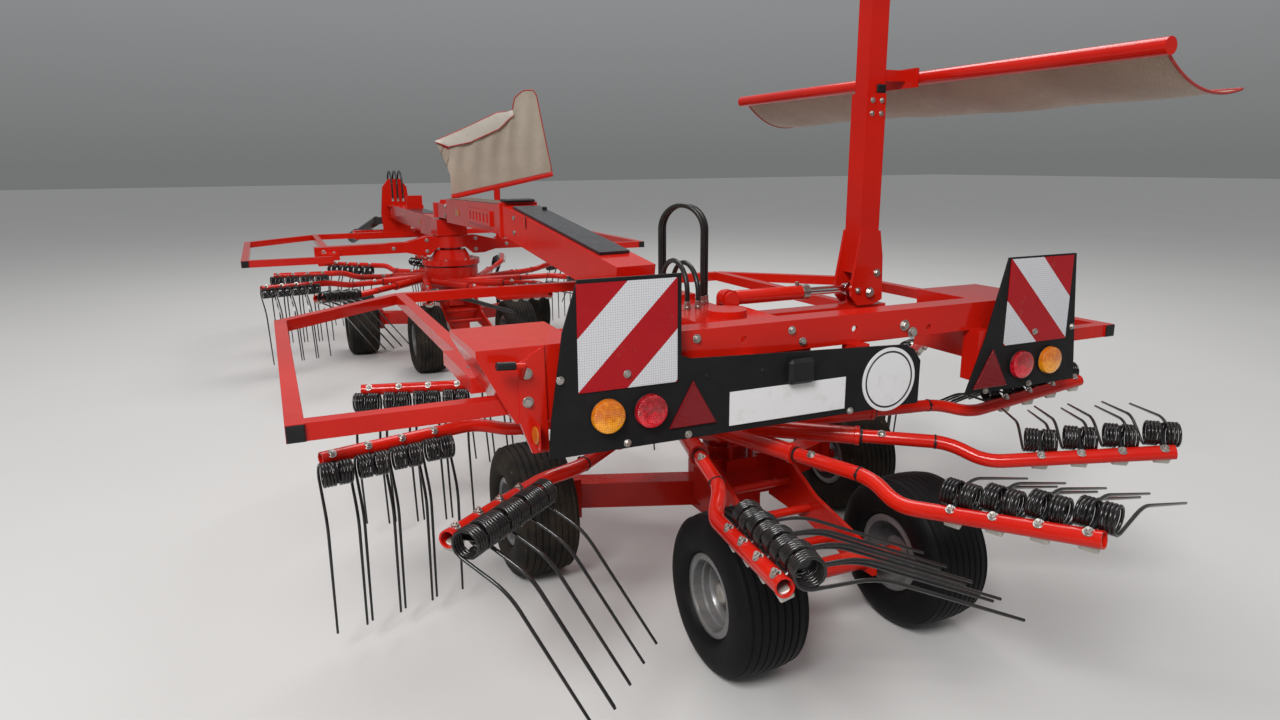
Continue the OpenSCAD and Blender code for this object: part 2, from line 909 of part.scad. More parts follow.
module rear_chassis() {
    color(paint)
        at_rear()
            chassis();
}

module light_boards() {
    color(black)
        at_rear() {
            plate_xz(BOARD_L, -board_y, -board_y + board_t);
            plate_xz(BOARD_R, -board_y, -board_y + board_t);
        }
}

module warning_panels() {
    color([0.85, 0.85, 0.85])
        at_rear()
            for (p = [[-727, 820], [745, 803]])
                box([p[0], -board_y - 3, p[1]], [p[0] + panel_s, -board_y, p[1] + panel_s]);
}

module lamps() {
    color([0.7, 0.1, 0.08])
        at_rear() {
            for (p = LAMPS)
                translate([p[0], -board_y, p[1]])
                    rotate([90, 0, 0]) {
                        cylinder(r = lamp_r, h = 22);
                        translate([0, 0, 22])
                            cylinder(r1 = lamp_r, r2 = lamp_r - 12, h = 10);
                    }
            for (t = TRIANGLES)
                plate_xz([[t[0], t[1]], [t[0] + t[2], t[1]], [t[0] + t[2] / 2, t[1] + t[2] * 0.87]], -board_y - 8, -board_y);
        }
}

module signs() {
    color([0.9, 0.9, 0.9])
        at_rear() {
            box([-281, -board_y - 3, 672], [115, -board_y, 770]);
            translate([278, -board_y, 743])
                rotate([90, 0, 0])
                    cylinder(r = disc_r, h = 3);
        }
}

// Rear curtain on its mast, folded up.
module mast() {
    h = mast_s / 2;
    color(paint)
        at_rear() {
            difference() {
                union() {
                    box([mast_x - h, mast_y - h, 965], [mast_x + h, mast_y + h, mast_seam]);
                    box([mast_x - h + 8, mast_y - h + 8, mast_seam], [mast_x + h - 2, mast_y + h - 8, mast_top]);
                    for (y = [mast_y - 57, mast_y + 45])
                        plate_xz([[mast_x - 80, 880], [mast_x - 80, 930], [mast_x - 60, 1040], [mast_x - h, 1130],
                            [mast_x + h, 1130], [mast_x + 62, 1030], [mast_x + 70, 860], [mast_x + 30, 842],
                            [mast_x - 50, 842]], y, y + 12);
                    // Pin of the cylinder's eye.
                    disc_y(eye_x, cyl_z, cyl_pin_r, mast_y - 62, mast_y + 62);
                }
                disc_y(mast_x, mast_z, pivot_r + gap, mast_y - 70, mast_y + 70);
            }
            // Bracket of the curtain rail.
            box([mast_x + h - 10, mast_y - 35, tube_z - 10], [tube_x - tube_r - 10, mast_y + 35, tube_z + 30]);
            box([tube_x - tube_r - 15, mast_y - 90, tube_z - 35], [tube_x - tube_r, mast_y + 150, tube_z + 35]);
        }
}

// Curtain rail and its cloth.
CLOTH = [[tube_x + 12, tube_z - 16], [tube_x + 80, 1602], [tube_x + 200, 1564], [tube_x + 365, 1594]];

module curtain_rail() {
    color(paint)
        at_rear()
            rod([tube_x, tube_y0, tube_z], [tube_x, tube_y1, tube_z], tube_r);
}

module curtain_cloth() {
    t = cloth_t;
    color([0.62, 0.54, 0.42])
        at_rear()
            difference() {
                plate_xz([CLOTH[0], CLOTH[1], CLOTH[2], CLOTH[3], CLOTH[3] + [0, t], CLOTH[2] + [0, t], CLOTH[1] + [4, t],
                    CLOTH[0] + [t, t]], tube_y0 + 15, tube_y1 - 40);
                translate([tube_x, tube_y0, tube_z])
                    rotate([-90, 0, 0])
                        cylinder(r = tube_r + gap, h = 2400);
            }
}

// Cylinder that lowers the mast, along X between its two pins.
module cylinder_barrel() {
    color(paint)
        at_rear()
            difference() {
                union() {
                    rod([barrel_x + 28, mast_y, cyl_z], [470, mast_y, cyl_z], 27);
                    disc_y(barrel_x, cyl_z, 33, mast_y - eye_half, mast_y + eye_half);
                }
                rod([200, mast_y, cyl_z], [480, mast_y, cyl_z], 16 + gap);
                disc_y(barrel_x, cyl_z, cyl_pin_r + gap, mast_y - eye_half - 5, mast_y + eye_half + 5);
            }
}

module cylinder_rod() {
    color(grey)
        at_rear()
            difference() {
                union() {
                    rod([260, mast_y, cyl_z], [eye_x - 15, mast_y, cyl_z], 16);
                    disc_y(eye_x, cyl_z, eye_r, mast_y - eye_half, mast_y + eye_half);
                }
                disc_y(eye_x, cyl_z, cyl_pin_r + eye_play, mast_y - eye_half - 5, mast_y + eye_half + 5);
            }
}

module tyre_f1() { color(black) at_front() place_wheel(0) tyre(); }
module tyre_f2() { color(black) at_front() place_wheel(1) tyre(); }
module tyre_f3() { color(black) at_front() place_wheel(2) tyre(); }
module tyre_f4() { color(black) at_front() place_wheel(3) tyre(); }
module tyre_r1() { color(black) at_rear() place_wheel(0) tyre(); }
module tyre_r2() { color(black) at_rear() place_wheel(1) tyre(); }
module tyre_r3() { color(black) at_rear() place_wheel(2) tyre(); }
module tyre_r4() { color(black) at_rear() place_wheel(3) tyre(); }
module rim_f1() { color(grey) at_front() place_wheel(0) rim(); }
module rim_f2() { color(grey) at_front() place_wheel(1) rim(); }
module rim_f3() { color(grey) at_front() place_wheel(2) rim(); }
module rim_f4() { color(grey) at_front() place_wheel(3) rim(); }
module rim_r1() { color(grey) at_rear() place_wheel(0) rim(); }
module rim_r2() { color(grey) at_rear() place_wheel(1) rim(); }
module rim_r3() { color(grey) at_rear() place_wheel(2) rim(); }
module rim_r4() { color(grey) at_rear() place_wheel(3) rim(); }

front_column();
front_crossbeam();
front_guards();
drawbar();
headstock();
pto_shaft();
hitch_hoses();
parking_leg();
front_hub();
front_arms();
front_tines();
front_chassis();
front_curtain_rail();
front_curtain_cloth();
beam();
beam_cover();
rear_column();
rear_crossbeam();
rear_side_boxes();
rear_guards();
rear_hoses();
rear_hub();
rear_arms();
rear_tines();
rear_chassis();
light_boards();
warning_panels();
lamps();
signs();
mast();
curtain_rail();
curtain_cloth();
cylinder_barrel();
cylinder_rod();
tyre_f1();
rim_f1();
tyre_f2();
rim_f2();
tyre_f3();
rim_f3();
tyre_f4();
rim_f4();
tyre_r1();
rim_r1();
tyre_r2();
rim_r2();
tyre_r3();
rim_r3();
tyre_r4();
rim_r4();
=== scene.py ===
import json
import math

import bmesh
import bpy
import numpy as np
from mathutils import Matrix, Vector


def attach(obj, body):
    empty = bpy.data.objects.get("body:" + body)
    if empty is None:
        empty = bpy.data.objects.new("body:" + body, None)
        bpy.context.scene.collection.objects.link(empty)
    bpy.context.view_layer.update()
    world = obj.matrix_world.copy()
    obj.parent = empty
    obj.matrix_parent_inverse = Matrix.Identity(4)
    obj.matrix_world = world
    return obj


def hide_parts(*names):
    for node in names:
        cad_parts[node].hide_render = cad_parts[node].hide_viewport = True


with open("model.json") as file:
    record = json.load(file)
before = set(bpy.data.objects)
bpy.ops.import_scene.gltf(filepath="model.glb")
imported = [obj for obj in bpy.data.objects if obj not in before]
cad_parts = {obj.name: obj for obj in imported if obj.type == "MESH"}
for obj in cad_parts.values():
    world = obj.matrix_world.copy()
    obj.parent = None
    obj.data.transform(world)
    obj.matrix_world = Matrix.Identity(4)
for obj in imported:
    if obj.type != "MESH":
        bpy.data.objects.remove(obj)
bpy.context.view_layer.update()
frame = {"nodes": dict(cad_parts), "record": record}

# Places of the two rotor units, metres
REAR = Vector((0.08, -2.88, 0.0))
FRONT = Vector((-0.08, 0.99, 0.0))

# Camera, solved from the photograph
CAMERA_AT = Vector((-1.3353, -5.3252, 1.3948))
CAMERA_LENS = 23.345
CAMERA_SENSOR = 36.0
CAMERA_PITCH = math.radians(13.39)
CAMERA_HEADING = math.radians(24.0)
CAMERA_ROLL = -0.0082


def rear(x, y, z):
    return REAR + Vector((x, y, z))


def front(x, y, z):
    return FRONT + Vector((x, y, z))


def metres(table):
    """Turns pairs in millimetres into metres."""
    return [(a / 1000, b / 1000) for a, b in table]


def new_object(name, data):
    made = bpy.data.objects.new(name, data)
    bpy.context.scene.collection.objects.link(made)
    return made


UNITS = (("front", front), ("rear", rear))
SIDES = (-1, 1)
BACK = (0, -1, 0)
UP = (0, 0, 1)
move = Matrix.Translation


def make_camera():
    data = bpy.data.cameras.new("camera")
    data.lens = CAMERA_LENS
    data.sensor_width = CAMERA_SENSOR
    data.clip_end = 100
    camera = new_object("camera", data)
    turn = Matrix.Rotation(-CAMERA_HEADING, 4, "Z") @ Matrix.Rotation(math.pi / 2 - CAMERA_PITCH, 4, "X")
    camera.matrix_world = move(CAMERA_AT) @ turn @ Matrix.Rotation(CAMERA_ROLL, 4, "Z")
    bpy.context.scene.camera = camera


make_camera()


# Materials
class Nodes:
    """A material's node tree, with short calls for the nodes used here."""

    def __init__(self, name):
        self.material = bpy.data.materials.new(name)
        self.material.use_nodes = True
        self.tree = self.material.node_tree
        self.shader = self.tree.nodes["Principled BSDF"]
        self.coords = self.add("TexCoord").outputs["Object"]

    def link(self, a, b):
        self.tree.links.new(a, b)

    def set(self, name, value):
        self.shader.inputs[name].default_value = value

    def add(self, kind, vector=None, **values):
        """Adds a node and sets its inputs; a space in an input's name is written as _."""
        node = self.tree.nodes.new("ShaderNode" + kind)
        for name, value in values.items():
            node.inputs[name.replace("_", " ")].default_value = value
        if vector is not None:
            self.link(vector, node.inputs["Vector"])
        return node

    def noise(self, scale, detail=4.0, rough=0.55, stretch=None):
        coords = self.add("Mapping", self.coords, Scale=stretch).outputs["Vector"] if stretch else self.coords
        return self.add("TexNoise", coords, Scale=scale, Detail=detail, Roughness=rough).outputs["Fac"]

    def cells(self, scale, randomness, feature="F1"):
        node = self.add("TexVoronoi", self.coords, Scale=scale, Randomness=randomness)
        node.feature = feature
        return node.outputs["Distance"]

    def math(self, kind, a, b=None, c=None, clamp=False):
        node = self.add("Math")
        node.operation = kind
        node.use_clamp = clamp
        for socket, value in zip(node.inputs, (a, b, c)):
            if isinstance(value, (int, float)):
                socket.default_value = value
            elif value is not None:
                self.link(value, socket)
        return node.outputs[0]

    def times(self, a, b):
        return self.math("MULTIPLY", a, b)

    def step(self, value, low, high, out_low=0.0, out_high=1.0):
        """Maps a value from one range to another and holds it at the ends."""
        node = self.add("MapRange", From_Min=low, From_Max=high, To_Min=out_low, To_Max=out_high)
        self.link(value, node.inputs["Value"])
        return node.outputs["Result"]

    def mix(self, factor, a, b):
        """Mixes two colours; each is a tuple or the output of a node."""
        node = self.add("Mix")
        node.data_type = "RGBA"
        self.link(factor, node.inputs[0])
        for socket, value in ((node.inputs[6], a), (node.inputs[7], b)):
            if isinstance(value, tuple):
                socket.default_value = (*value, 1.0)
            else:
                self.link(value, socket)
        return node.outputs[2]

    def axes(self, source=None):
        return self.add("SeparateXYZ", source or self.coords).outputs

    def normal(self):
        return self.axes(self.add("NewGeometry").outputs["Normal"])

    def colour(self, value):
        self.link(value, self.shader.inputs["Base Color"])

    def rough(self, value):
        self.link(value, self.shader.inputs["Roughness"])

    def soft_edges(self):
        node = self.add("Bevel", Radius=0.0025)
        node.samples = 4
        return node.outputs["Normal"]

    def bump(self, *layers, edges=True):
        """Layers are pairs of a height and how deep it is, in metres; thin wire keeps its own edges."""
        last = self.soft_edges() if edges else None
        for height, depth in layers:
            node = self.add("Bump", Distance=depth, Strength=1.0)
            self.link(height, node.inputs["Height"])
            if last is not None:
                self.link(last, node.inputs["Normal"])
            last = node.outputs["Normal"]
        self.link(last, self.shader.inputs["Normal"])


RED = (0.56, 0.013, 0.0045)


def paint_material(name, base, shade, dust=0.08, gloss=0.12):
    """Gloss enamel: slow drifts of colour, thin dust on what faces up, chips, and a slightly wavy coat."""
    n = Nodes(name)
    drift = n.noise(2.3, 3)
    patches = n.noise(14, 6, 0.65)
    up = n.step(n.normal()[2], 0.2, 1.0)
    settled = n.times(up, n.step(patches, 0.5, 0.8, 0.0, dust))
    splash = n.step(n.noise(60, 8, 0.7), 0.68, 0.8, 0.0, dust * 0.6)
    dirt = n.math("MAXIMUM", settled, splash)
    chips = n.times(n.step(n.noise(95, 3, 0.6), 0.735, 0.75), n.step(n.noise(3.1, 3), 0.5, 0.6))
    enamel = n.mix(n.step(drift, 0.3, 0.7), base, shade)
    coat = n.mix(n.times(chips, 0.8), enamel, (0.06, 0.03, 0.02))
    n.colour(n.mix(dirt, coat, (0.3, 0.2, 0.12)))
    n.rough(n.math("ADD", n.step(patches, 0.3, 0.8, gloss, gloss + 0.1), n.times(dirt, 0.5)))
    n.set("Specular IOR Level", 0.2)
    n.set("Coat Weight", 0.13)
    n.set("Coat Roughness", 0.05)
    n.bump((n.noise(5, 2), 0.0011), (n.noise(260, 2), 0.00003))
    return n.material


def plain_material(name, base, shade, rough, grain=180, depth=0.0002, metal=0.0, dust=0.0, shine=0.5,
                   edges=True):
    """One surface with drifting colour, fine grain and a little settled dust."""
    n = Nodes(name)
    cloud = n.noise(12, 5, 0.6)
    up = n.step(n.normal()[2], -0.1, 1.0)
    settled = n.times(up, n.step(n.noise(31, 6, 0.7), 0.42, 0.75, 0.0, dust))
    n.colour(n.mix(settled, n.mix(n.step(cloud, 0.3, 0.7), base, shade), (0.33, 0.25, 0.17)))
    worn = n.step(n.noise(36, 4), 0.3, 0.7, rough - 0.06, rough + 0.08)
    n.rough(n.math("ADD", worn, n.times(settled, 0.3)))
    n.set("Metallic", metal)
    n.set("Specular IOR Level", shine)
    n.bump((n.noise(grain, 3), depth), edges=edges)
    return n.material


def wire_material(name, base, shade, rough, dust):
    """Black enamel on wire and on the small carriers between the coils."""
    return plain_material(name, base, shade, rough, depth=0.00003, dust=dust, shine=0.45, edges=False)


def cover_material(name, base, shade, metal):
    return plain_material(name, base, shade, 0.2, grain=7, metal=metal, dust=0.05, depth=0.0008)


paint = paint_material("orange_red_enamel", RED, (0.46, 0.008, 0.0035))
paint_low = paint_material("orange_red_enamel_worked", RED, (0.4, 0.009, 0.004), dust=0.22, gloss=0.18)
spring_black = wire_material("black_spring_enamel", (0.004, 0.004, 0.005), (0.009, 0.009, 0.01), 0.13, 0.02)
tine_black = wire_material("tine_steel", (0.005, 0.005, 0.006), (0.014, 0.012, 0.011), 0.17, 0.05)
zinc = plain_material("zinc_plate", (0.55, 0.53, 0.5), (0.36, 0.33, 0.29), 0.34, metal=1.0, grain=420)
clamp_grey = plain_material(
    "galvanised_clamp", (0.52, 0.5, 0.45), (0.38, 0.36, 0.32), 0.5, metal=0.35, grain=300)
board_black = plain_material(
    "board_satin_black", (0.007, 0.0075, 0.008), (0.012, 0.012, 0.013), 0.5, grain=150, dust=0.06, shine=0.16)
hose_black = plain_material(
    "hose_rubber", (0.008, 0.008, 0.008), (0.018, 0.017, 0.016), 0.3,
    grain=500, dust=0.04, shine=0.32, edges=False)
cap_black = plain_material("end_cap_plastic", (0.008, 0.008, 0.009), (0.016, 0.016, 0.017), 0.38, shine=0.2)
shaft_black = plain_material("shaft_guard", (0.014, 0.014, 0.015), (0.03, 0.03, 0.032), 0.33, dust=0.3)
rim_grey = plain_material(
    "rim_silver", (0.19, 0.19, 0.195), (0.115, 0.112, 0.108), 0.3, metal=0.35, dust=0.35)
hub_steel = plain_material("hub_cap_steel", (0.5, 0.48, 0.44), (0.33, 0.3, 0.27), 0.32, metal=0.9)
rod_steel = plain_material(
    "plated_rod", (0.72, 0.72, 0.72), (0.6, 0.6, 0.6), 0.16, metal=1.0, grain=700, depth=0.00003)
cover_dark = cover_material("dark_cover", (0.012, 0.012, 0.015), (0.03, 0.03, 0.034), 0.3)
cover_green = cover_material("dark_cover_front", (0.05, 0.06, 0.054), (0.13, 0.145, 0.13), 0.5)


def rubber_material():
    """Rubber of the far tyres: brown dust and chaff."""
    n = Nodes("tyre_rubber")
    cloud = n.noise(9, 6, 0.65)
    chaff = n.noise(160, 3, 0.7, stretch=(1.0, 0.25, 0.4))
    dust = n.times(n.step(cloud, 0.4, 0.75), 0.35)
    straw = n.times(n.step(chaff, 0.66, 0.7), n.step(cloud, 0.5, 0.62))
    soil = n.mix(dust, (0.01, 0.0095, 0.009), (0.1, 0.072, 0.046))
    n.colour(n.mix(straw, soil, (0.42, 0.31, 0.16)))
    n.rough(n.step(cloud, 0.3, 0.7, 0.62, 0.86))
    n.set("Specular IOR Level", 0.12)
    n.bump((n.noise(60, 5, 0.7), 0.0012), (chaff, 0.0006))
    return n.material


# Darker rubber with little dust for the two nearest tyres: painted shade
def shaded_rubber_material():
    n = Nodes("tyre_rubber_shaded")
    cloud = n.noise(8, 5, 0.6)
    n.colour(n.mix(n.step(cloud, 0.5, 0.85, 0.0, 0.25), (0.0045, 0.0045, 0.005), (0.03, 0.024, 0.018)))
    n.rough(n.step(cloud, 0.3, 0.7, 0.45, 0.66))
    n.set("Specular IOR Level", 0.12)
    n.bump((n.noise(90, 4, 0.6), 0.0005))
    return n.material


# Stripes of the panels: width, and each panel's upper corner that they are counted from: x, z
STRIPE = 0.0985
LEFT_CORNER = (-0.727, 1.102)
RIGHT_CORNER = (1.027, 1.085)


def panel_material():
    """Reflective film: diagonal stripes that fall outwards on both panels, with fine cells in the white."""
    n = Nodes("striped_film")
    x, _, z = n.axes()
    right = n.math("GREATER_THAN", x, REAR.x)
    from_left = n.math("SUBTRACT", x, REAR.x + LEFT_CORNER[0])
    left_fall = n.math("ADD", from_left, n.math("SUBTRACT", LEFT_CORNER[1], z))
    from_right = n.math("SUBTRACT", REAR.x + RIGHT_CORNER[0], x)
    right_fall = n.math("ADD", from_right, n.math("SUBTRACT", RIGHT_CORNER[1], z))
    along = n.math("MULTIPLY_ADD", right, n.math("SUBTRACT", right_fall, left_fall), left_fall)
    band = n.math("MODULO", n.times(along, math.sqrt(0.5) / STRIPE), 2.0)
    white = n.math("GREATER_THAN", band, 1.0)
    edge = n.step(n.cells(150, 0.15, "DISTANCE_TO_EDGE"), 0.02, 0.12)
    grime = n.noise(24, 6, 0.7)
    white_tone = n.mix(edge, (0.36, 0.36, 0.38), (0.6, 0.6, 0.62))
    red_tone = n.mix(n.noise(14, 4), (0.38, 0.005, 0.01), (0.3, 0.004, 0.008))
    clean = n.mix(white, red_tone, white_tone)
    n.colour(n.mix(n.step(grime, 0.62, 0.82, 0.0, 0.35), clean, (0.25, 0.2, 0.15)))
    n.rough(n.step(grime, 0.3, 0.7, 0.26, 0.42))
    n.set("Specular IOR Level", 0.22)
    n.set("Coat Weight", 0.08)
    n.bump((edge, 0.00015))
    return n.material


# Heights of the lamps' middles on the left and right board
LAMP_Z_LEFT = 0.7515
LAMP_Z_RIGHT = 0.735


def lens_material(name, deep, painted_glow_tone, glow):
    """A ribbed lamp lens: crossed ribs, and low in the lens a painted glow of light caught by the reflector
    behind it; the lens also gives off a faint glow of its own.
    """
    n = Nodes(name)
    x, _, z = n.axes()
    patches = n.noise(70, 3)
    middle = n.step(x, REAR.x - 0.1, REAR.x + 0.1, LAMP_Z_LEFT, LAMP_Z_RIGHT)
    height = n.math("SUBTRACT", z, middle)
    # Painted glow: the lower part of the lens turns to the bright tone
    low = n.math("ADD", n.step(height, 0.012, -0.03), n.step(patches, 0.35, 0.65, -0.3, 0.3), clamp=True)
    rib_x = n.math("SINE", n.times(x, 1250))
    rib_z = n.math("SINE", n.times(z, 950))
    ribs = n.math("MAXIMUM", rib_x, rib_z)
    n.colour(n.mix(n.step(ribs, 0.6, 1.0, 0.0, 0.45), n.mix(low, deep, painted_glow_tone), deep))
    n.rough(n.step(patches, 0.3, 0.7, 0.07, 0.14))
    n.set("Coat Weight", 0.8)
    n.set("Coat Roughness", 0.04)
    # Painted glow: the lens gives off a little light in its bright tone
    n.set("Emission Color", (*painted_glow_tone, 1.0))
    n.set("Emission Strength", glow)
    n.bump((ribs, 0.0006), (patches, 0.0004))
    return n.material


def cell_reflector_material(name, tone, deep):
    n = Nodes(name)
    distance = n.cells(260, 0.1)
    n.colour(n.mix(n.step(distance, 0.1, 0.6), tone, deep))
    n.rough(n.step(n.noise(20), 0.3, 0.7, 0.14, 0.26))
    n.set("Specular IOR Level", 0.3)
    n.set("Coat Weight", 0.15)
    n.bump((distance, 0.0003))
    return n.material


# Round plate: middle, and the inner and outer radius of its black ring
PLATE_X = 0.278
PLATE_Z = 0.743
RING_INNER = 0.0835
RING_OUTER = 0.0895


def sign_material():
    """Blank white plates; the round one has a black ring near its rim."""
    n = Nodes("blank_plate")
    x, _, z = n.axes()
    dx = n.math("SUBTRACT", x, REAR.x + PLATE_X)
    dz = n.math("SUBTRACT", z, PLATE_Z)
    radius = n.math("SQRT", n.math("ADD", n.times(dx, dx), n.times(dz, dz)))
    outside = n.math("GREATER_THAN", radius, RING_INNER)
    ring = n.times(outside, n.math("LESS_THAN", radius, RING_OUTER))
    grime = n.noise(26, 6, 0.7)
    face = n.mix(n.step(grime, 0.55, 0.85, 0.0, 0.5), (0.7, 0.7, 0.7), (0.4, 0.36, 0.3))
    n.colour(n.mix(ring, face, (0.012, 0.012, 0.013)))
    n.rough(n.step(grime, 0.3, 0.7, 0.3, 0.45))
    n.bump((n.noise(60, 3), 0.0001))
    return n.material


THREADS = 900


def cloth_material(name, base, shade):
    """Coated tarpaulin: a fine weave under the coat, stains and creases."""
    n = Nodes(name)
    stain = n.noise(3.2, 6, 0.6)
    fine = n.noise(34, 5, 0.65)
    x, y, z = n.axes()
    warp = n.math("SINE", n.times(n.math("ADD", x, z), THREADS))
    weft = n.math("SINE", n.times(y, THREADS))
    threads = n.times(warp, weft)
    tone = n.mix(n.step(stain, 0.32, 0.68), base, shade)
    n.colour(n.mix(n.step(fine, 0.5, 0.8, 0.0, 0.35), tone, (0.28, 0.22, 0.16)))
    n.rough(n.step(fine, 0.3, 0.7, 0.55, 0.72))
    n.set("Sheen Weight", 0.15)
    n.bump((n.noise(7, 4, 0.5), 0.006), (threads, 0.0002))
    return n.material


rubber = rubber_material()
rubber_shaded = shaded_rubber_material()
panel_film = panel_material()
# Lenses: deep tone, tone of the painted glow, and the strength of the lens's painted glow
lens_amber = lens_material("lens_amber", (0.5, 0.1, 0.003), (1.0, 0.4, 0.008), 0.1)
lens_red = lens_material("lens_red", (0.22, 0.002, 0.005), (0.85, 0.012, 0.03), 0.06)
reflector_red = cell_reflector_material("reflector_red", (0.24, 0.003, 0.008), (0.12, 0.002, 0.004))
reflector_amber = cell_reflector_material("reflector_amber", (0.62, 0.17, 0.01), (0.4, 0.09, 0.006))
plate_white = sign_material()
tarp = cloth_material("tarpaulin_beige", (0.34, 0.27, 0.195), (0.25, 0.19, 0.135))
tarp_front = cloth_material("tarpaulin_front", (0.4, 0.345, 0.27), (0.33, 0.275, 0.21))
tarp_flap = cloth_material("tarpaulin_flap", (0.5, 0.46, 0.4), (0.43, 0.39, 0.33))
trim_red = plain_material("trim_red", (0.42, 0.02, 0.012), (0.3, 0.016, 0.01), 0.5, grain=600, depth=0.0004)

NODE_MATERIALS = {
    "paint": paint, "spring": spring_black, "board": board_black, "panel": panel_film,
    "lamp": reflector_red, "sign": plate_white, "tyre": rubber, "rim": rim_grey, "hose": hose_black,
    "shaft": shaft_black, "cloth": tarp, "steel": rod_steel, "cover": cover_dark,
}
WORKED_NODES = ("front_chassis", "rear_chassis", "front_hub", "rear_hub")


def dress_nodes():
    """Gives every CAD node the material of its slot, and the worked nodes a duller paint."""
    for part in frame["record"]["subparts"]:
        target = frame["nodes"][part["node"]]
        chosen = paint_low if part["node"] in WORKED_NODES else NODE_MATERIALS[part["material_slot"]]
        target.data.materials.clear()
        target.data.materials.append(chosen)


dress_nodes()

# Hoses, as in the part: feet p and q, the height of each foot, and the height where the bend starts
HOSE_R = 0.009
BEND_STEPS = 22
SHORT_RISE = 0.05
HITCH_Y = 2.54
HITCH_FEET = (1.0303, 1.0123)
REAR_FEET = (0.9003, 0.8803)
HITCH_LOOPS = [((x, HITCH_Y - 0.04), (x, HITCH_Y + 0.255), *HITCH_FEET, 1.18) for x in (-0.05, 0.0, 0.05)]
REAR_LOOPS = [
    ((-0.06, 0.4), (0.04, 0.25), *REAR_FEET, 1.15),
    ((-0.038, 0.416), (0.062, 0.266), *REAR_FEET, 1.15),
    ((-0.064, 0.38), (-0.064, 0.17), *REAR_FEET, 0.94),
    ((-0.02, 0.38), (-0.02, 0.17), *REAR_FEET, 0.93),
]


def hose_route(place, loop):
    """Straight up from p, over in a half circle and down to q."""
    p, q, zp, zq, zs = loop
    points = [place(*p, zp + (zs - zp) * t) for t in (0.0, 0.25, 0.5, 0.75)]
    if zs - zp < SHORT_RISE:
        points = points[:2]
    mid = Vector(((p[0] + q[0]) / 2, (p[1] + q[1]) / 2))
    half = Vector((p[0] - q[0], p[1] - q[1])) / 2
    for i in range(BEND_STEPS + 1):
        a = math.pi * i / BEND_STEPS
        c, s = math.cos(a), math.sin(a)
        points.append(place(mid.x + half.x * c, mid.y + half.y * c, zs + half.length * s))
    points += [place(*q, zs + (zq - zs) * t) for t in (0.25, 0.5, 0.75, 1.0)]
    return points


def make_hoses(name, node, body, place, loops):
    for k, loop in enumerate(loops, 1):
        route = hose_route(place, loop)
        data = bpy.data.curves.new(f"{name}_{k}", "CURVE")
        data.dimensions = "3D"
        spline = data.splines.new("POLY")
        spline.points.add(len(route) - 1)
        for point, at in zip(spline.points, route):
            point.co = (*at, 1.0)
        data.bevel_depth = HOSE_R
        data.bevel_resolution = 4
        data.use_fill_caps = True
        data.materials.append(hose_black)
        hose = new_object(f"{name}_{k}", data)
        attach(hose, body)
        if k == 1:
            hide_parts(node)


make_hoses("hitch_hose", "hitch_hoses", "hitch", front, HITCH_LOOPS)
make_hoses("rear_hose", "rear_hoses", "rear_frame", rear, REAR_LOOPS)

# Mesh building; a mesh is a pair of vertices and faces
SMOOTH_ANGLE = 35.0


class Shape:
    """Collects meshes, then becomes one object."""

    def __init__(self):
        self.verts = []
        self.faces = []
        self.marks = []
        self.count = 0

    def add(self, mesh, mark=0, at=None):
        """Adds a mesh with the number of its material, moved by a matrix where one is given."""
        if at is not None:
            Shape().add(mesh, mark).placed(at, self)
            return self
        verts, faces = mesh
        verts = np.asarray(verts, float).reshape(-1, 3)
        self.verts.append(verts)
        self.faces += [tuple(i + self.count for i in face) for face in faces]
        self.marks += [mark] * len(faces)
        self.count += len(verts)
        return self

    def placed(self, matrix, target):
        """Adds this shape, moved by a matrix, to another one; a mirror turns its faces round."""
        m = np.array(matrix)
        verts = np.concatenate(self.verts) @ m[:3, :3].T + m[:3, 3]
        flip = np.linalg.det(m[:3, :3]) < 0
        faces = [face[::-1] for face in self.faces] if flip else self.faces
        target.verts.append(verts)
        target.faces += [tuple(i + target.count for i in face) for face in faces]
        target.marks += self.marks
        target.count += len(verts)

    def moved(self, matrix):
        out = Shape()
        self.placed(matrix, out)
        return out

    def build(self, name, materials, smooth_angle=SMOOTH_ANGLE):
        mesh = bpy.data.meshes.new(name)
        mesh.from_pydata(np.concatenate(self.verts).tolist(), [], self.faces)
        for material in materials:
            mesh.materials.append(material)
        mesh.polygons.foreach_set("material_index", np.array(self.marks, dtype=np.int32))
        mesh.validate()
        mesh.shade_smooth()
        mesh.set_sharp_from_angle(angle=math.radians(smooth_angle))
        return new_object(name, mesh)


def dressed(name, body, materials, shape, angle=SMOOTH_ANGLE, node=None):
    """Builds a shape as a piece that rides a body and may replace a node."""
    piece = shape.build(name, materials, angle)
    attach(piece, body)
    if node:
        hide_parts(node)
    return piece


def quads(rows, columns, round_rows=False, round_columns=False):
    """Faces between neighbours in rows of points; either way may close on itself."""
    faces = []
    for i in range(rows if round_rows else rows - 1):
        a, b = i * columns, (i + 1) % rows * columns
        for k in range(columns if round_columns else columns - 1):
            j = (k + 1) % columns
            faces.append((a + k, a + j, b + j, b + k))
    return faces


def sweep(points, radius, sides=8, caps=True):
    """A round tube along points; radius is a number or one for each point."""
    pts = [Vector(p) for p in points]
    radii = [radius] * len(pts) if isinstance(radius, (int, float)) else list(radius)
    tangents = []
    for i in range(len(pts)):
        ahead = pts[min(i + 1, len(pts) - 1)] - pts[max(i - 1, 0)]
        tangents.append(ahead.normalized())
    side = tangents[0].orthogonal().normalized()
    verts = []
    for i, (point, tangent) in enumerate(zip(pts, tangents)):
        if i:
            side = (side - tangent * side.dot(tangent)).normalized()
        other = tangent.cross(side)
        for k in range(sides):
            a = 2 * math.pi * k / sides
            verts.append(point + radii[i] * (side * math.cos(a) + other * math.sin(a)))
    faces = quads(len(pts), sides, round_columns=True)
    if caps:
        faces.append(tuple(range(sides))[::-1])
        faces.append(tuple((len(pts) - 1) * sides + k for k in range(sides)))
    return np.array([v[:] for v in verts]), faces


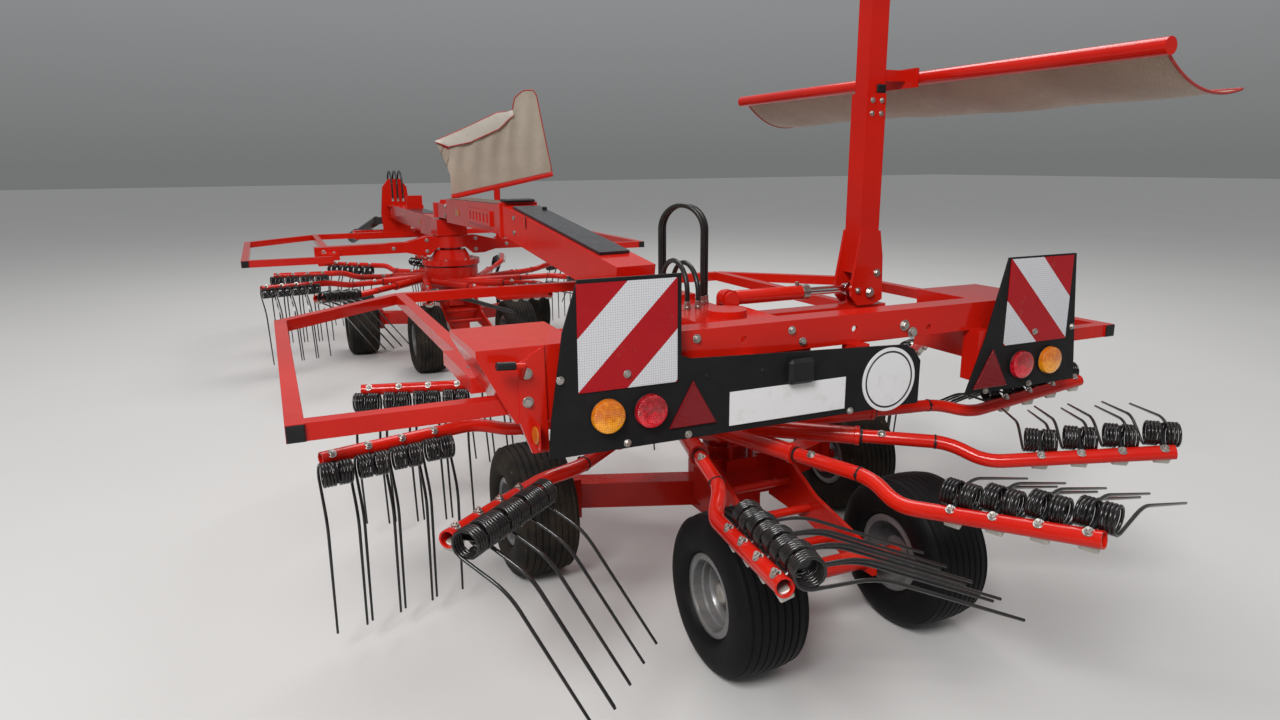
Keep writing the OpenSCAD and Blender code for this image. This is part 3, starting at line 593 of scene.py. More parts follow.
def rounded(points, radius, steps=5):
    """A path whose corners are eased over the given distance."""
    pts = [Vector(p) for p in points]
    out = [pts[0]]
    for a, b, c in zip(pts, pts[1:], pts[2:]):
        reach = min(radius, (b - a).length * 0.49, (c - b).length * 0.49)
        start = b + (a - b).normalized() * reach
        end = b + (c - b).normalized() * reach
        for i in range(steps + 1):
            t = i / steps
            out.append(start * (1 - t) ** 2 + b * 2 * t * (1 - t) + end * t * t)
    out.append(pts[-1])
    return out


def revolve(profile, segments=48, axis="X"):
    """Turns (radius, along) pairs about an axis."""
    verts = []
    for k in range(segments):
        a = 2 * math.pi * k / segments
        c, s = math.cos(a), math.sin(a)
        for r, t in profile:
            verts.append((t, r * c, r * s) if axis == "X" else (r * c, r * s, t))
    faces = quads(segments, len(profile), round_rows=True)
    if axis == "X":
        faces = [face[::-1] for face in faces]
    return np.array(verts), faces


def puck(radius, height, segments):
    """A short plug that stands on z = 0."""
    return revolve([(0.0, 0.0), (radius, 0.0), (radius, height), (0.0, height)], segments, "Z")


def grid(rows):
    """A sheet from rows of points, all of one length."""
    return [tuple(p) for row in rows for p in row], quads(len(rows), len(rows[0]))


def flipped(mesh):
    verts, faces = mesh
    return verts, [face[::-1] for face in faces]


def hull(points):
    bm = bmesh.new()
    for p in points:
        bm.verts.new(p)
    result = bmesh.ops.convex_hull(bm, input=bm.verts)
    inside = [g for g in result["geom_interior"] if isinstance(g, bmesh.types.BMVert)]
    bmesh.ops.delete(bm, geom=inside, context="VERTS")
    bmesh.ops.dissolve_limit(bm, angle_limit=0.02, verts=bm.verts, edges=bm.edges)
    bm.verts.index_update()
    verts = np.array([v.co[:] for v in bm.verts])
    faces = [tuple(v.index for v in f.verts) for f in bm.faces]
    bm.free()
    return verts, faces


def block(low, high, bevel=0.0):
    """A box with its edges cut at 45 degrees."""
    low, high = Vector(low), Vector(high)
    corners = [(x, y, z) for x in (0, 1) for y in (0, 1) for z in (0, 1)]
    verts = []
    for axis in range(3):
        for ends in corners:
            v = []
            for k, end in enumerate(ends):
                inset = 0 if k == axis else bevel
                v.append(high[k] - inset if end else low[k] + inset)
            verts.append(v)
    return hull(verts)


def slab(place, low, high, bevel):
    return block(place(*low), place(*high), bevel)


def facing(direction, roll=0.0):
    """Turns +Z to a direction."""
    turn = Vector(direction).normalized().to_track_quat("Z", "Y").to_matrix().to_4x4()
    return turn @ Matrix.Rotation(roll, 4, "Z")


# Fastenings
BOLT_R = 0.0095
WASHER_R = BOLT_R * 1.35
WASHER_T = BOLT_R * 0.2


def bolt_shape():
    """Hex head on a washer, standing on z = 0."""
    shape = Shape().add(puck(WASHER_R, WASHER_T, 20))
    top = WASHER_T + BOLT_R * 0.75
    head = [(BOLT_R, WASHER_T), (BOLT_R, top - BOLT_R * 0.12), (BOLT_R * 0.88, top), (0.0, top)]
    return shape.add(revolve(head, 6, "Z"))


BOLT = bolt_shape()


def bolts(name, body, places, material=zinc, scale=1.0):
    """One joined piece of bolt heads: places are (point, direction)."""
    target = Shape()
    for k, (point, direction) in enumerate(places):
        turn = facing(direction, k * 0.7)
        BOLT.placed(move(point) @ turn @ Matrix.Scale(scale, 4), target)
    dressed(name, body, [material], target)


# Rotor arms, as in the part
ARM_COUNT = 11
ARM_Z = 0.55
ARM_OFFSET = 0.195
REAR_PHASE = -40.2
FRONT_PHASE = -32.4
ARM_R = 0.021
ARM_WALL = 0.0042
BORE_DEPTH = 0.07
SOCKET_R = 0.028
SOCKET_END = 0.45
SOCKET_BOLT_X = 0.532
CRANK_START = 0.727
CRANK_END = 0.837
ARM_TIP = 1.33
CRANK_UP = 0.032
CRANK_LEAD = 0.042
TIP_TRAIL = 0.033
CLAMP_TURN = Matrix.Rotation(math.radians(-50), 4, "X")
TINE_FIRST = 0.985
TINE_PITCH = 0.105
TINES = 4
WIRE_R = 0.0046
COIL_WIRE_R = 0.0042
COIL_R = 0.037
COIL_LEG = 0.0426
COIL_INNER = 0.006
COIL_TURNS = 4
COIL_BACK = 0.047
COIL_DOWN = 0.036
TINE_UPPER = 0.135
TINE_LOWER = 0.345
TINE_BEND = 0.045
TINE_LEAN = math.radians(22)
TINE_HOOK = math.radians(5)
# Roll of an arm by its direction: direction, roll
ROLL = [
    (-180, 0), (-171, 3), (-138, 42), (-106, 74), (-73, 80),
    (-40, 86), (-7.5, 66), (25, 10), (42, 0), (180, 0),
]
# Rubber ring at the socket's mouth and cable tie short of the crank: place, width, height
ARM_RINGS = ((0.4675, 0.008, 0.0022), (0.688, 0.006, 0.0016))
# Fineness of a unit's arms: sides of the tube, steps of a coil's turn, sides of the wire
NEAR_ARMS = (20, 14, 7)
FAR_ARMS = (12, 9, 5)


def cam_roll(direction):
    """Roll that the cam gives an arm that points in a direction."""
    a = (direction + 180) % 360 - 180
    for (a0, r0), (a1, r1) in zip(ROLL, ROLL[1:]):
        if a0 <= a <= a1:
            return math.radians(r0 + (r1 - r0) * (a - a0) / (a1 - a0))
    return 0.0


def outer_trail(x):
    return -CRANK_LEAD + (x - CRANK_END) * (CRANK_LEAD + TIP_TRAIL) / (ARM_TIP - CRANK_END)


def double_tine(turn_steps, sides):
    """One wire: leg, coil, bridge under the clamp, coil, leg. The origin is at the arm's tube."""
    r = COIL_R - COIL_WIRE_R
    end_angle = math.pi + TINE_LEAN
    start_angle = end_angle - 2 * math.pi * COIL_TURNS
    steps = turn_steps * COIL_TURNS
    lean = Vector((0, math.sin(TINE_LEAN), -math.cos(TINE_LEAN)))
    hook = Vector((0, -math.sin(TINE_HOOK), -math.cos(TINE_HOOK)))
    shift = Vector((0, COIL_BACK, -COIL_DOWN))
    wire = Shape()
    for side in SIDES:
        path = [Vector((0.0, r * math.cos(start_angle), r * math.sin(start_angle)))]
        for i in range(steps + 1):
            t = i / steps
            angle = end_angle - (1 - t) * 2 * math.pi * COIL_TURNS
            x = side * (COIL_INNER + (COIL_LEG - COIL_INNER) * t)
            path.append(Vector((x, r * math.cos(angle), r * math.sin(angle))))
        corner = path[-1] + lean * TINE_UPPER
        leg = rounded([path[-1], corner, corner + hook * TINE_LOWER], TINE_BEND)[1:]
        radii = [COIL_WIRE_R] * len(path) + [WIRE_R] * (len(leg) - 1) + [WIRE_R * 0.8]
        wire.add(sweep([p + shift for p in path + leg], radii, sides))
    return wire


def tine_holder():
    """Black carrier between the tube and the two coils."""
    reach = math.hypot(COIL_BACK, COIL_DOWN)
    carrier = block((-0.005, -0.009, 0.012), (0.005, 0.009, reach + COIL_R - 0.006), 0.002)
    return Shape().add(carrier, at=Matrix.Rotation(-math.atan2(COIL_BACK, -COIL_DOWN), 4, "X"))


def clamp_shape():
    """Pale clamp block under the tube, with the end of its bolt."""
    shape = Shape().add(block((-0.021, -0.016, -ARM_R - 0.011), (0.021, 0.016, -ARM_R + 0.01), 0.003))
    shape.add(revolve([(0.0, -ARM_R - 0.016), (0.007, -ARM_R - 0.016), (0.007, -ARM_R - 0.01)], 12, "Z"))
    return shape.moved(CLAMP_TURN)


def clamp_bolt():
    shape = BOLT.moved(move((0, 0, ARM_R - 0.0015)))
    shape.add(sweep([(0, 0, ARM_R), (0, 0, ARM_R + 0.0125)], 0.0048, 8))
    return shape.moved(CLAMP_TURN)


def arm_tube(sides):
    """Bent tube with a collar at the hub's socket and an open tip."""
    crank_start = Vector((CRANK_START, 0, 0))
    crank_end = Vector((CRANK_END, -CRANK_LEAD, CRANK_UP))
    tip = Vector((ARM_TIP, TIP_TRAIL, CRANK_UP))
    path = rounded([(SOCKET_END - 0.02, 0, 0), crank_start, crank_end, tip], 0.05, 6)
    shape = Shape().add(sweep(path, ARM_R, sides, caps=False))
    back = (crank_end - tip).normalized()
    bore = [tip, tip + back * 0.0001, tip + back * BORE_DEPTH, tip + back * (BORE_DEPTH + 0.0001)]
    bore_r = ARM_R - ARM_WALL
    shape.add(flipped(sweep(bore, [ARM_R, bore_r, bore_r, 0.0005], sides, caps=False)))
    collar = [(SOCKET_END + x, 0, 0) for x in (0, 0.001, 0.015, 0.016)]
    collar_r = SOCKET_R + 0.003
    return shape.add(sweep(collar, [SOCKET_R, collar_r, collar_r, ARM_R], sides, caps=False))


def arm_fittings(sides):
    """The arm's rubber ring, its cable tie and the tie's head."""
    shape = Shape()
    for x, wide, high in ARM_RINGS:
        ring = [(x, 0, 0), (x + 0.0005, 0, 0), (x + wide - 0.0005, 0, 0), (x + wide, 0, 0)]
        shape.add(sweep(ring, [ARM_R - 0.001, ARM_R + high, ARM_R + high, ARM_R - 0.001], sides, caps=False))
    return shape.add(block((0.6865, -0.0045, ARM_R - 0.001), (0.6955, 0.0045, ARM_R + 0.0045), 0.001))


def make_arms(unit, origin, phase, fineness):
    tube_sides, turn_steps, wire_sides = fineness
    tube, fittings = arm_tube(tube_sides), arm_fittings(tube_sides)
    wire, holder = double_tine(turn_steps, wire_sides), tine_holder()
    clamp, bolt = clamp_shape(), clamp_bolt()
    tubes, wires, holders, clamps, heads, rings = [Shape() for _ in range(6)]
    for i in range(ARM_COUNT):
        direction = phase + i * 360 / ARM_COUNT
        arm = (move(origin) @ Matrix.Rotation(math.radians(direction), 4, "Z")
               @ move((0, -ARM_OFFSET, ARM_Z)) @ Matrix.Rotation(cam_roll(direction), 4, "X"))
        tube.placed(arm, tubes)
        fittings.placed(arm, rings)
        bolt.placed(arm @ move((SOCKET_BOLT_X, 0, 0)), heads)
        for k in range(TINES):
            x = TINE_FIRST + k * TINE_PITCH
            station = arm @ move((x, outer_trail(x), CRANK_UP))
            wire.placed(station, wires)
            holder.placed(station, holders)
            clamp.placed(station, clamps)
            bolt.placed(station, heads)
    body = unit + "_rotor"
    dressed(unit + "_arm_tubes", body, [paint], tubes, node=unit + "_arms")
    dressed(unit + "_tine_wires", body, [tine_black], wires, 60, unit + "_tines")
    dressed(unit + "_tine_holders", body, [spring_black], holders)
    dressed(unit + "_tine_clamps", body, [clamp_grey], clamps)
    dressed(unit + "_clamp_bolts", body, [zinc], heads)
    dressed(unit + "_arm_rings", body, [cap_black], rings)


make_arms("rear", REAR, REAR_PHASE, NEAR_ARMS)
make_arms("front", FRONT, FRONT_PHASE, FAR_ARMS)

# Wheels of a unit: x, y, side
WHEELS = [(-0.662, 0.177, -1), (0.662, 0.177, 1), (-0.312, -0.62, -1), (0.312, -0.62, 1)]
TYRE_R = 0.2285
TREAD_HALF = 0.078
RIBS = 7
GROOVE = 0.0045
# Profiles of a tyre's wall, its rim and its hub cap: radius, along
TYRE_WALL = metres([
    (104, 84), (119, 84), (123, 92), (130, 100.5), (142, 105.5), (156, 107.5), (172, 108), (188, 106),
    (202, 101), (213.5, 94), (220.5, 87),
])
RIM_FACE = metres([
    (20, -56), (46, -56), (46, -22), (60, -14), (92, -14), (97, -30), (97, -91), (112, -91), (118, -88),
    (118, -84.5), (106, -83), (103.5, -70), (103.5, 70), (106, 83), (118, 84.5), (118, 88), (112, 91),
    (100.5, 91), (96.5, 86), (95.5, 60), (91.5, 56), (90.5, 38), (86.5, 33), (85, 15), (80, 6), (72, 2),
    (60, 2), (57.5, 5), (52, 5), (47, 10), (43, 20), (41.5, 28),
])
HUB_CAP = metres([
    (41.5, 24), (41.5, 30), (34, 31.5), (34, 46), (32, 52), (26, 56.5), (14, 58), (0, 58),
])


def crown(along):
    return TYRE_R - 0.0062 * (abs(along) / TREAD_HALF) ** 2.6


def tyre_profile():
    """Rounded walls and a crowned tread with shallow round-about grooves."""
    tread = []
    width = 2 * TREAD_HALF / RIBS
    for i in range(RIBS):
        t0 = TREAD_HALF - i * width
        t1 = t0 - width
        middle = (t0 + t1) / 2
        tread += [
            (crown(t0) - GROOVE, t0 - 0.001), (crown(t0) - 0.0004, t0 - 0.0035), (crown(middle), middle),
            (crown(t1) - 0.0004, t1 + 0.0035), (crown(t1) - GROOVE, t1 + 0.001),
        ]
    left = [(r, -t) for r, t in TYRE_WALL]
    return left + [(r, -t) for r, t in tread] + TYRE_WALL[::-1]


def make_wheels(unit, origin):
    for k, (x, y, side) in enumerate(WHEELS, 1):
        at = move(origin + Vector((x, y, TYRE_R))) @ Matrix.Diagonal((side, 1, 1, 1))
        wheel = f"{unit}{k}"
        near = unit == "r" and k in (3, 4)
        tyre = Shape().add(revolve(tyre_profile(), 72), at=at)
        # The two nearest tyres get the darker rubber, a painted shade
        material = rubber_shaded if near else rubber
        dressed(f"tyre_dressed_{wheel}", f"wheel_{wheel}", [material], tyre, 40, f"tyre_{wheel}")
        rim = Shape().add(revolve(RIM_FACE, 56), 0, at)
        rim.add(revolve(HUB_CAP, 32), 1, at)
        valve = block((0.0005, -0.013, 0.062), (0.0045, 0.013, 0.078), 0.001)
        rim.add(valve, 2, at)
        materials = [rim_grey, hub_steel, cap_black]
        dressed(f"rim_dressed_{wheel}", f"wheel_{wheel}", materials, rim, node=f"rim_{wheel}")


make_wheels("f", FRONT)
make_wheels("r", REAR)

# Boards: their rear face; lamps: x, z, 1 for amber or 2 for red; triangles: lower left corner
BOARD_Y = -0.51
LAMPS = [(-0.65, 0.752, 1), (-0.527, 0.751, 2), (0.825, 0.734, 2), (0.954, 0.736, 1)]
LAMP_R = 0.047
LENS_STEPS = 12
TRIANGLES = [(-0.469, 0.69), (0.628, 0.668)]
TRIANGLE_SIDE = 0.145
# Section of a triangle from its back to its middle: how far out, share of its size
TRIANGLE_RINGS = [(0.0, 1.0), (-0.006, 1.0), (-0.0078, 0.94), (-0.0062, 0.9), (-0.0062, 0.0)]


def lens_profile():
    lens = [(LAMP_R - 0.001, 0.006), (LAMP_R - 0.0014, 0.017)]
    for i in range(LENS_STEPS + 1):
        r = (LAMP_R - 0.003) * (1 - i / LENS_STEPS)
        rib = 0.0006 if i % 2 else 0.0
        lens.append((r, 0.0175 + 0.0115 * math.sqrt(max(0.0, 1 - (r / LAMP_R) ** 2)) + rib))
    return lens


def triangle(x, z):
    side = TRIANGLE_SIDE
    corners = [Vector((x, 0, z)), Vector((x + side, 0, z)), Vector((x + side / 2, 0, z + side * 0.87))]
    middle = sum(corners, Vector()) / 3
    verts = []
    for out, share in TRIANGLE_RINGS:
        verts += [rear(*(middle + (c - middle) * share + Vector((0, BOARD_Y + out, 0)))) for c in corners]
    faces = []
    for i in range(len(TRIANGLE_RINGS) - 1):
        for k in range(3):
            j = (k + 1) % 3
            faces.append((i * 3 + k, (i + 1) * 3 + k, (i + 1) * 3 + j, i * 3 + j))
    return [v[:] for v in verts], faces


def make_lamps():
    """Round lamps with a thin black bezel and a domed lens; triangles with a rim."""
    lamp = Shape()
    bezel = [(0.0, 0.0), (LAMP_R, 0.0), (LAMP_R, 0.005), (LAMP_R - 0.001, 0.006)]
    for x, z, lens_mark in LAMPS:
        at = move(rear(x, BOARD_Y, z)) @ Matrix.Rotation(math.radians(90), 4, "X")
        lamp.add(revolve(bezel, 48, "Z"), 0, at)
        lamp.add(revolve(lens_profile(), 48, "Z"), lens_mark, at)
    for x, z in TRIANGLES:
        lamp.add(triangle(x, z), 3)
    materials = [cap_black, lens_amber, lens_red, reflector_red]
    dressed("lamps_dressed", "rear_frame", materials, lamp, 28, "lamps")


make_lamps()

# Axis of the mast's pin and height of the cylinder's eye
MAST_Y = 0.2
EYE_Z = 0.903
CROSS_Y = -0.46
COVER_BOLT_R = 0.19
BOARD_BOLTS = metres([
    (-775, 860), (-592, 667), (-409, 665), (138, 661), (684, 658), (878, 661), (1056, 840),
])


def pairs(first, second):
    return [(a, b) for a in first for b in second]


def back_bolts(name, body, y, spots, scale=1.0, material=zinc, place=rear):
    """Bolts at x, z on a face that looks back."""
    bolts(name, body, [(place(x, y, z), BACK) for x, z in spots], material, scale)


def side_bolts(name, body, place, x, spots, scale=1.0):
    places = [(place(side * x, y, z), (side, 0, 0)) for side in SIDES for y, z in spots]
    bolts(name, body, places, scale=scale)


def pin_bolts(name, body, x, reach, z, scale):
    """Bolts on both ends of a pin that runs through the mast from back to front."""
    bolts(name, body, [(rear(x, MAST_Y + side * reach, z), (0, side, 0)) for side in SIDES], scale=scale)


def rear_bolts():
    back_bolts("board_bolts", "rear_frame", BOARD_Y, BOARD_BOLTS, 0.85)
    back_bolts("panel_bolts", "rear_frame", BOARD_Y - 0.003, [(-0.592, 0.858), (0.879, 0.839)], 0.85)
    back_bolts("board_rivets", "rear_frame", BOARD_Y, [(-0.353, 0.824), (-0.177, 0.821)], 0.6, cap_black)
    back_bolts("crossbeam_bolts", "rear_frame", CROSS_Y, [(-0.359, 0.92), (-0.047, 0.916), (-0.008, 0.879)])
    back_bolts("crossbeam_large_bolts", "rear_frame", CROSS_Y, [(0.371, 0.895), (0.404, 0.869)], 1.35)
    back_bolts("side_plate_bolts", "rear_frame", -0.465, pairs((-0.848, 0.848), (0.801, 0.876)), 1.15)
    back_bolts("mast_bolts", "rear_curtain", 0.155, pairs((0.702, 0.745), (1.567, 1.614)), 0.8)
    pin_bolts("mast_base_bolts", "rear_curtain", 0.757, 0.057, 0.966, 1.2)
    pin_bolts("mast_pin_nuts", "rear_frame", 0.72, 0.066, 0.893, 1.5)
    pin_bolts("eye_pin_nuts", "rear_curtain", 0.666, 0.062, EYE_Z, 0.9)


def other_bolts():
    knee = [(rear(-0.229, 1.8, z), (-0.99, -0.12, 0)) for z in (1.045, 1.12)]
    for side, x in ((-1, -0.25), (1, -0.07)):
        knee += [(rear(x, 3.497, z), (side, 0, 0)) for z in (1.045, 1.105)]
    bolts("beam_bolts", "beam_body", knee, scale=1.3)
    for unit, place in UNITS:
        turns = [math.radians(22.5 + 45 * i) for i in range(8)]
        ring = [(place(COVER_BOLT_R * math.cos(a), COVER_BOLT_R * math.sin(a), 0.704), UP) for a in turns]
        bolts(unit + "_cover_bolts", unit + "_frame", ring, scale=0.9)
        chassis = ((-0.19, 0.372), (-0.305, 0.318), (-0.47, 0.248))
        side_bolts(unit + "_chassis_bolts", unit + "_chassis_body", place, 0.145, chassis)
        spots = pairs((-0.835, -0.895, 0.835, 0.895), (-0.13, -0.02))
        bolts(unit + "_sleeve_bolts", unit + "_frame", [(place(*at, 0.798), UP) for at in spots], scale=0.9)
    flange = pairs((-0.18, 0.18), (0.77, 0.85)) + pairs((-0.42, -0.9, 0.42, 0.9), (0.8,))
    back_bolts("front_flange_bolts", "front_frame", -0.06, flange, 1.1, place=front)
    side_bolts("headstock_bolts", "hitch", front, 0.116, pairs((2.79,), (0.76, 0.84)), 1.1)


rear_bolts()
other_bolts()

# Caps, covers and small fittings
GUARD_X = 1.4
SLOT_R = 0.009


def guard_caps(unit, place):
    caps = Shape()
    for x in (-GUARD_X, GUARD_X):
        caps.add(slab(place, (x - 0.0215, -0.4045, 0.7535), (x + 0.0215, -0.399, 0.7965), 0.0015))
    dressed(unit + "_guard_caps", unit + "_frame", [cap_black], caps)


def beam_covers():
    """Thin cover on the beam, the cap at its knee with a plug, and beside it a thin black patch that paints
    the shade inside a slot in the beam.
    """
    ends = pairs(((3.42, 1.1596), (2.03, 1.1796)), (-0.237, -0.083))
    top = [rear(x, y, z + dz) for (y, z), x in ends for dz in (-0.0005, 0.0045)]
    dressed("beam_top_cover", "beam_body", [cover_green], Shape().add(hull(top)))
    knee = Shape().add(slab(rear, (-0.245, 1.932, 1.1925), (-0.075, 2.036, 1.2085), 0.006))
    at = move(rear(-0.071, 1.787, 1.1595)) @ facing((0.02, -0.16, 0.99))
    plug = [(0.0, 0.0), (0.013, 0.0), (0.013, 0.01), (0.01, 0.014), (0.0, 0.014)]
    knee.add(revolve(plug, 20, "Z"), 0, at)
    dressed("knee_cap", "beam_body", [cap_black], knee)
    # Painted shade: a thin black patch where the beam has a slot
    slot = []
    for z, first in ((1.08, math.pi), (1.128, 0)):
        for i in range(9):
            a = math.pi * i / 8 + first
            dy, dz = SLOT_R * math.cos(a), SLOT_R * math.sin(a)
            slot += [rear(-0.2155 + 0.12 * dy - out, 1.655 + dy, z + dz) for out in (0.0, 0.0012)]
    dressed("knee_slot_shade", "beam_body", [cap_black], Shape().add(hull(slot)))
    reflector = slab(rear, (-0.2585, 3.04, 1.062), (-0.2545, 3.15, 1.102), 0.001)
    dressed("beam_reflector", "beam_body", [reflector_amber], Shape().add(reflector))


def drawbar_fittings():
    cover = slab(front, (-0.072, 0.72, 0.9995), (0.072, 1.48, 1.0045), 0.002)
    dressed("drawbar_cover", "front_frame", [cover_dark], Shape().add(cover))
    amber = Shape()
    for x0, x1 in ((-0.0835, -0.0795), (0.0795, 0.0835)):
        amber.add(slab(front, (x0, 0.76, 0.905), (x1, 0.87, 0.945), 0.001))
    dressed("drawbar_reflectors", "front_frame", [reflector_amber], amber)


def rear_fittings():
    """Pad on the mast, grip of the latch lever, lamp over the plate, reflector beside the left board."""
    pad = slab(rear, (0.722, 0.1535, 1.6405), (0.7635, 0.164, 1.672), 0.004)
    dressed("mast_pad", "rear_curtain", [cap_black], Shape().add(pad))
    grip = sweep([rear(-0.888, -0.5019, 0.9087), rear(-0.935, -0.5053, 0.9126)], 0.0108, 16)
    dressed("latch_grip", "rear_frame", [cap_black], Shape().add(grip))
    housing = slab(rear, (-0.098, -0.5385, 0.7725), (-0.01, -0.5098, 0.846), 0.01)
    dressed("plate_lamp", "rear_frame", [cap_black], Shape().add(housing))
    side = Shape().add(slab(rear, (-0.835, -0.512, 0.68), (-0.831, -0.464, 0.752), 0.001))
    at = move(rear(-0.835, -0.487, 0.716)) @ facing((-1, -0.05, 0))
    disc = [(0.0, 0.0), (0.024, 0.0), (0.024, 0.0035), (0.0215, 0.0055), (0.0, 0.0055)]
    side.add(revolve(disc, 32, "Z"), 1, at)
    dressed("side_reflector", "rear_frame", [paint, reflector_amber], side)


def hose_ends(name, body, place, loops):
    crimp = [(0.0, 0.0), (0.0125, 0.0), (0.0125, 0.01), (0.0112, 0.011), (0.0112, 0.03), (0.0, 0.03)]
    ends = Shape()
    for p, q, zp, zq, _ in loops:
        for (x, y), z in ((p, zp), (q, zq)):
            ends.add(revolve(crimp, 12, "Z"), 0, move(place(x, y, z)))
    dressed(name + "_hose_ends", body, [zinc], ends)


def cylinder_ring():
    gland = [(0.0165, 0.44), (0.03, 0.44), (0.03, 0.4715), (0.0165, 0.4715)]
    ring = Shape().add(revolve(gland, 32), 0, move(rear(0, MAST_Y, EYE_Z)))
    ring.add(puck(0.0085, 0.016, 6), 0, move(rear(0.425, MAST_Y, 0.9285)))
    dressed("cylinder_ring", "barrel", [zinc], ring)


for unit_name, unit_place in UNITS:
    guard_caps(unit_name, unit_place)
beam_covers()
drawbar_fittings()
rear_fittings()
hose_ends("rear", "rear_frame", rear, REAR_LOOPS)
hose_ends("hitch", "hitch", front, HITCH_LOOPS)
cylinder_ring()

# Cloths; the first two are the ends of the rear one along y
CLOTH_Y0 = -0.825
CLOTH_Y1 = 1.39
CLOTH_ALONG = 90
CLOTH_ACROSS = 30
CLOTH_ANGLE = 80
TRIM_R = 0.0045


def trim(name, body, *lines):
    """Red edging; each line is a path and its radius."""
    shape = Shape()
    for path, radius in lines:
        shape.add(sweep(path, radius, 6))
    dressed(name, body, [trim_red], shape, 60)


def rear_cloth():
    """The sheet hangs from the rail, sags to its belly and rises to its free edge."""
    start, belly, edge = Vector((0.914, 0, 1.677)), Vector((1.075, 0, 1.522)), Vector((1.262, 0, 1.592))
    rows = []
    for i in range(CLOTH_ALONG + 1):
        u = i / CLOTH_ALONG
        row = []
        for k in range(CLOTH_ACROSS + 1):
            t = k / CLOTH_ACROSS
            p = start * (1 - t) ** 2 + belly * 2 * t * (1 - t) + edge * t * t
            wave = 0.006 * math.sin(9.4 * u + 1.3) * math.sin(math.pi * t)
            wave += 0.004 * math.sin(31 * u + 2 * t) * t * (1 - t) * 3
            crease = 0.004 * math.exp(-((u - 0.42 - 0.1 * t) / 0.02) ** 2) * t
            row.append(rear(p.x, CLOTH_Y0 + (CLOTH_Y1 - CLOTH_Y0) * u, p.z + wave + crease))
        rows.append(row)
    sheet = Shape().add(grid(rows))
    body = "rear_curtain"
    piece = dressed("rear_curtain_sheet", body, [tarp], sheet, CLOTH_ANGLE, "curtain_cloth")
    lines = (rows[0], [row[-1] for row in rows], rows[-1])
    trim("rear_curtain_trim", body, *[(line, TRIM_R) for line in lines])


# Front cloth: its plane, the ends of the bar that it stands on, its foot above the bar and its folds
FRONT_Y = 0.085
BAR_A = Vector((0.05, 0, 1.156))
BAR_B = Vector((0.85, 0, 1.315))
SHEET_FOOT = 0.012
FOLD_DEPTH = 0.0075
FRONT_ALONG = 60
FRONT_UP = 26
# Upper outline of the folded cloth, from its left side to its right side: x, z
FRONT_TOP = metres([
    (50, 1500), (-50, 1560), (200, 1665), (430, 1770), (545, 1780), (570, 1880), (640, 1935), (720, 1940),
    (745, 1900), (790, 1640), (850, 1325),
])
# Lower and upper edge of the flap that falls over the upper left part of the cloth: x, z
FLAP_LOW = metres([
    (-52, 1553), (45, 1518), (210, 1552), (356, 1615), (436, 1650), (505, 1713), (552, 1750),
])
FLAP_TOP = metres([
    (-48, 1562), (20, 1588), (160, 1646), (300, 1709), (425, 1766), (500, 1775), (550, 1790),
])
FLAP_PER_SPAN = 4
FLAP_ACROSS = 6


def even_points(outline, count):
    lengths = [0.0]
    for a, b in zip(outline, outline[1:]):
        lengths.append(lengths[-1] + math.dist(a, b))
    points = []
    for k in range(count + 1):
        s = lengths[-1] * k / count
        i = max(j for j in range(len(lengths) - 1) if lengths[j] <= s + 1e-9)
        t = (s - lengths[i]) / (lengths[i + 1] - lengths[i])
        a, b = outline[i], outline[i + 1]
        points.append((a[0] + (b[0] - a[0]) * t, a[1] + (b[1] - a[1]) * t))
    return points


def front_cut_area():
    """Flat area of the cut, from its outline as the photograph shows it and not from the mesh."""
    outline = [(BAR_A.x, BAR_A.z), *FRONT_TOP, (BAR_B.x, BAR_B.z)]
    edges = zip(outline, outline[1:] + outline[:1])
    return abs(sum(p[0] * q[1] - q[0] * p[1] for p, q in edges)) / 2


def front_cloth():
    """Stiff cloth that stands up from its bar, with soft upright folds."""
    tops = even_points(FRONT_TOP, FRONT_ALONG)
    rows = []
    for r in range(FRONT_UP + 1):
        t = r / FRONT_UP
        row = []
        for k, (x, z) in enumerate(tops):
            base = BAR_A + (BAR_B - BAR_A) * (k / FRONT_ALONG)
            px = base.x + (x - base.x) * t
            pz = base.z + SHEET_FOOT + (z - base.z - SHEET_FOOT) * t
            sway = 0.8 * math.sin(5 * t)
            fold = FOLD_DEPTH * math.sin(px * 46 + sway) * math.sin(math.pi * (0.12 + 0.76 * t))
            row.append(front(px, FRONT_Y + fold, pz))
        rows.append(row)
    sheet = Shape().add(grid(rows))
    body = "front_curtain"
    piece = dressed(
        "front_curtain_sheet", body, [tarp_front], sheet, CLOTH_ANGLE, "front_curtain_cloth")
    cut_area = front_cut_area()
    foot = [p + Vector((0, -0.004, 0)) for p in rows[0]]
    trim("front_curtain_trim", body, (rows[-1], TRIM_R), (foot, 0.006))


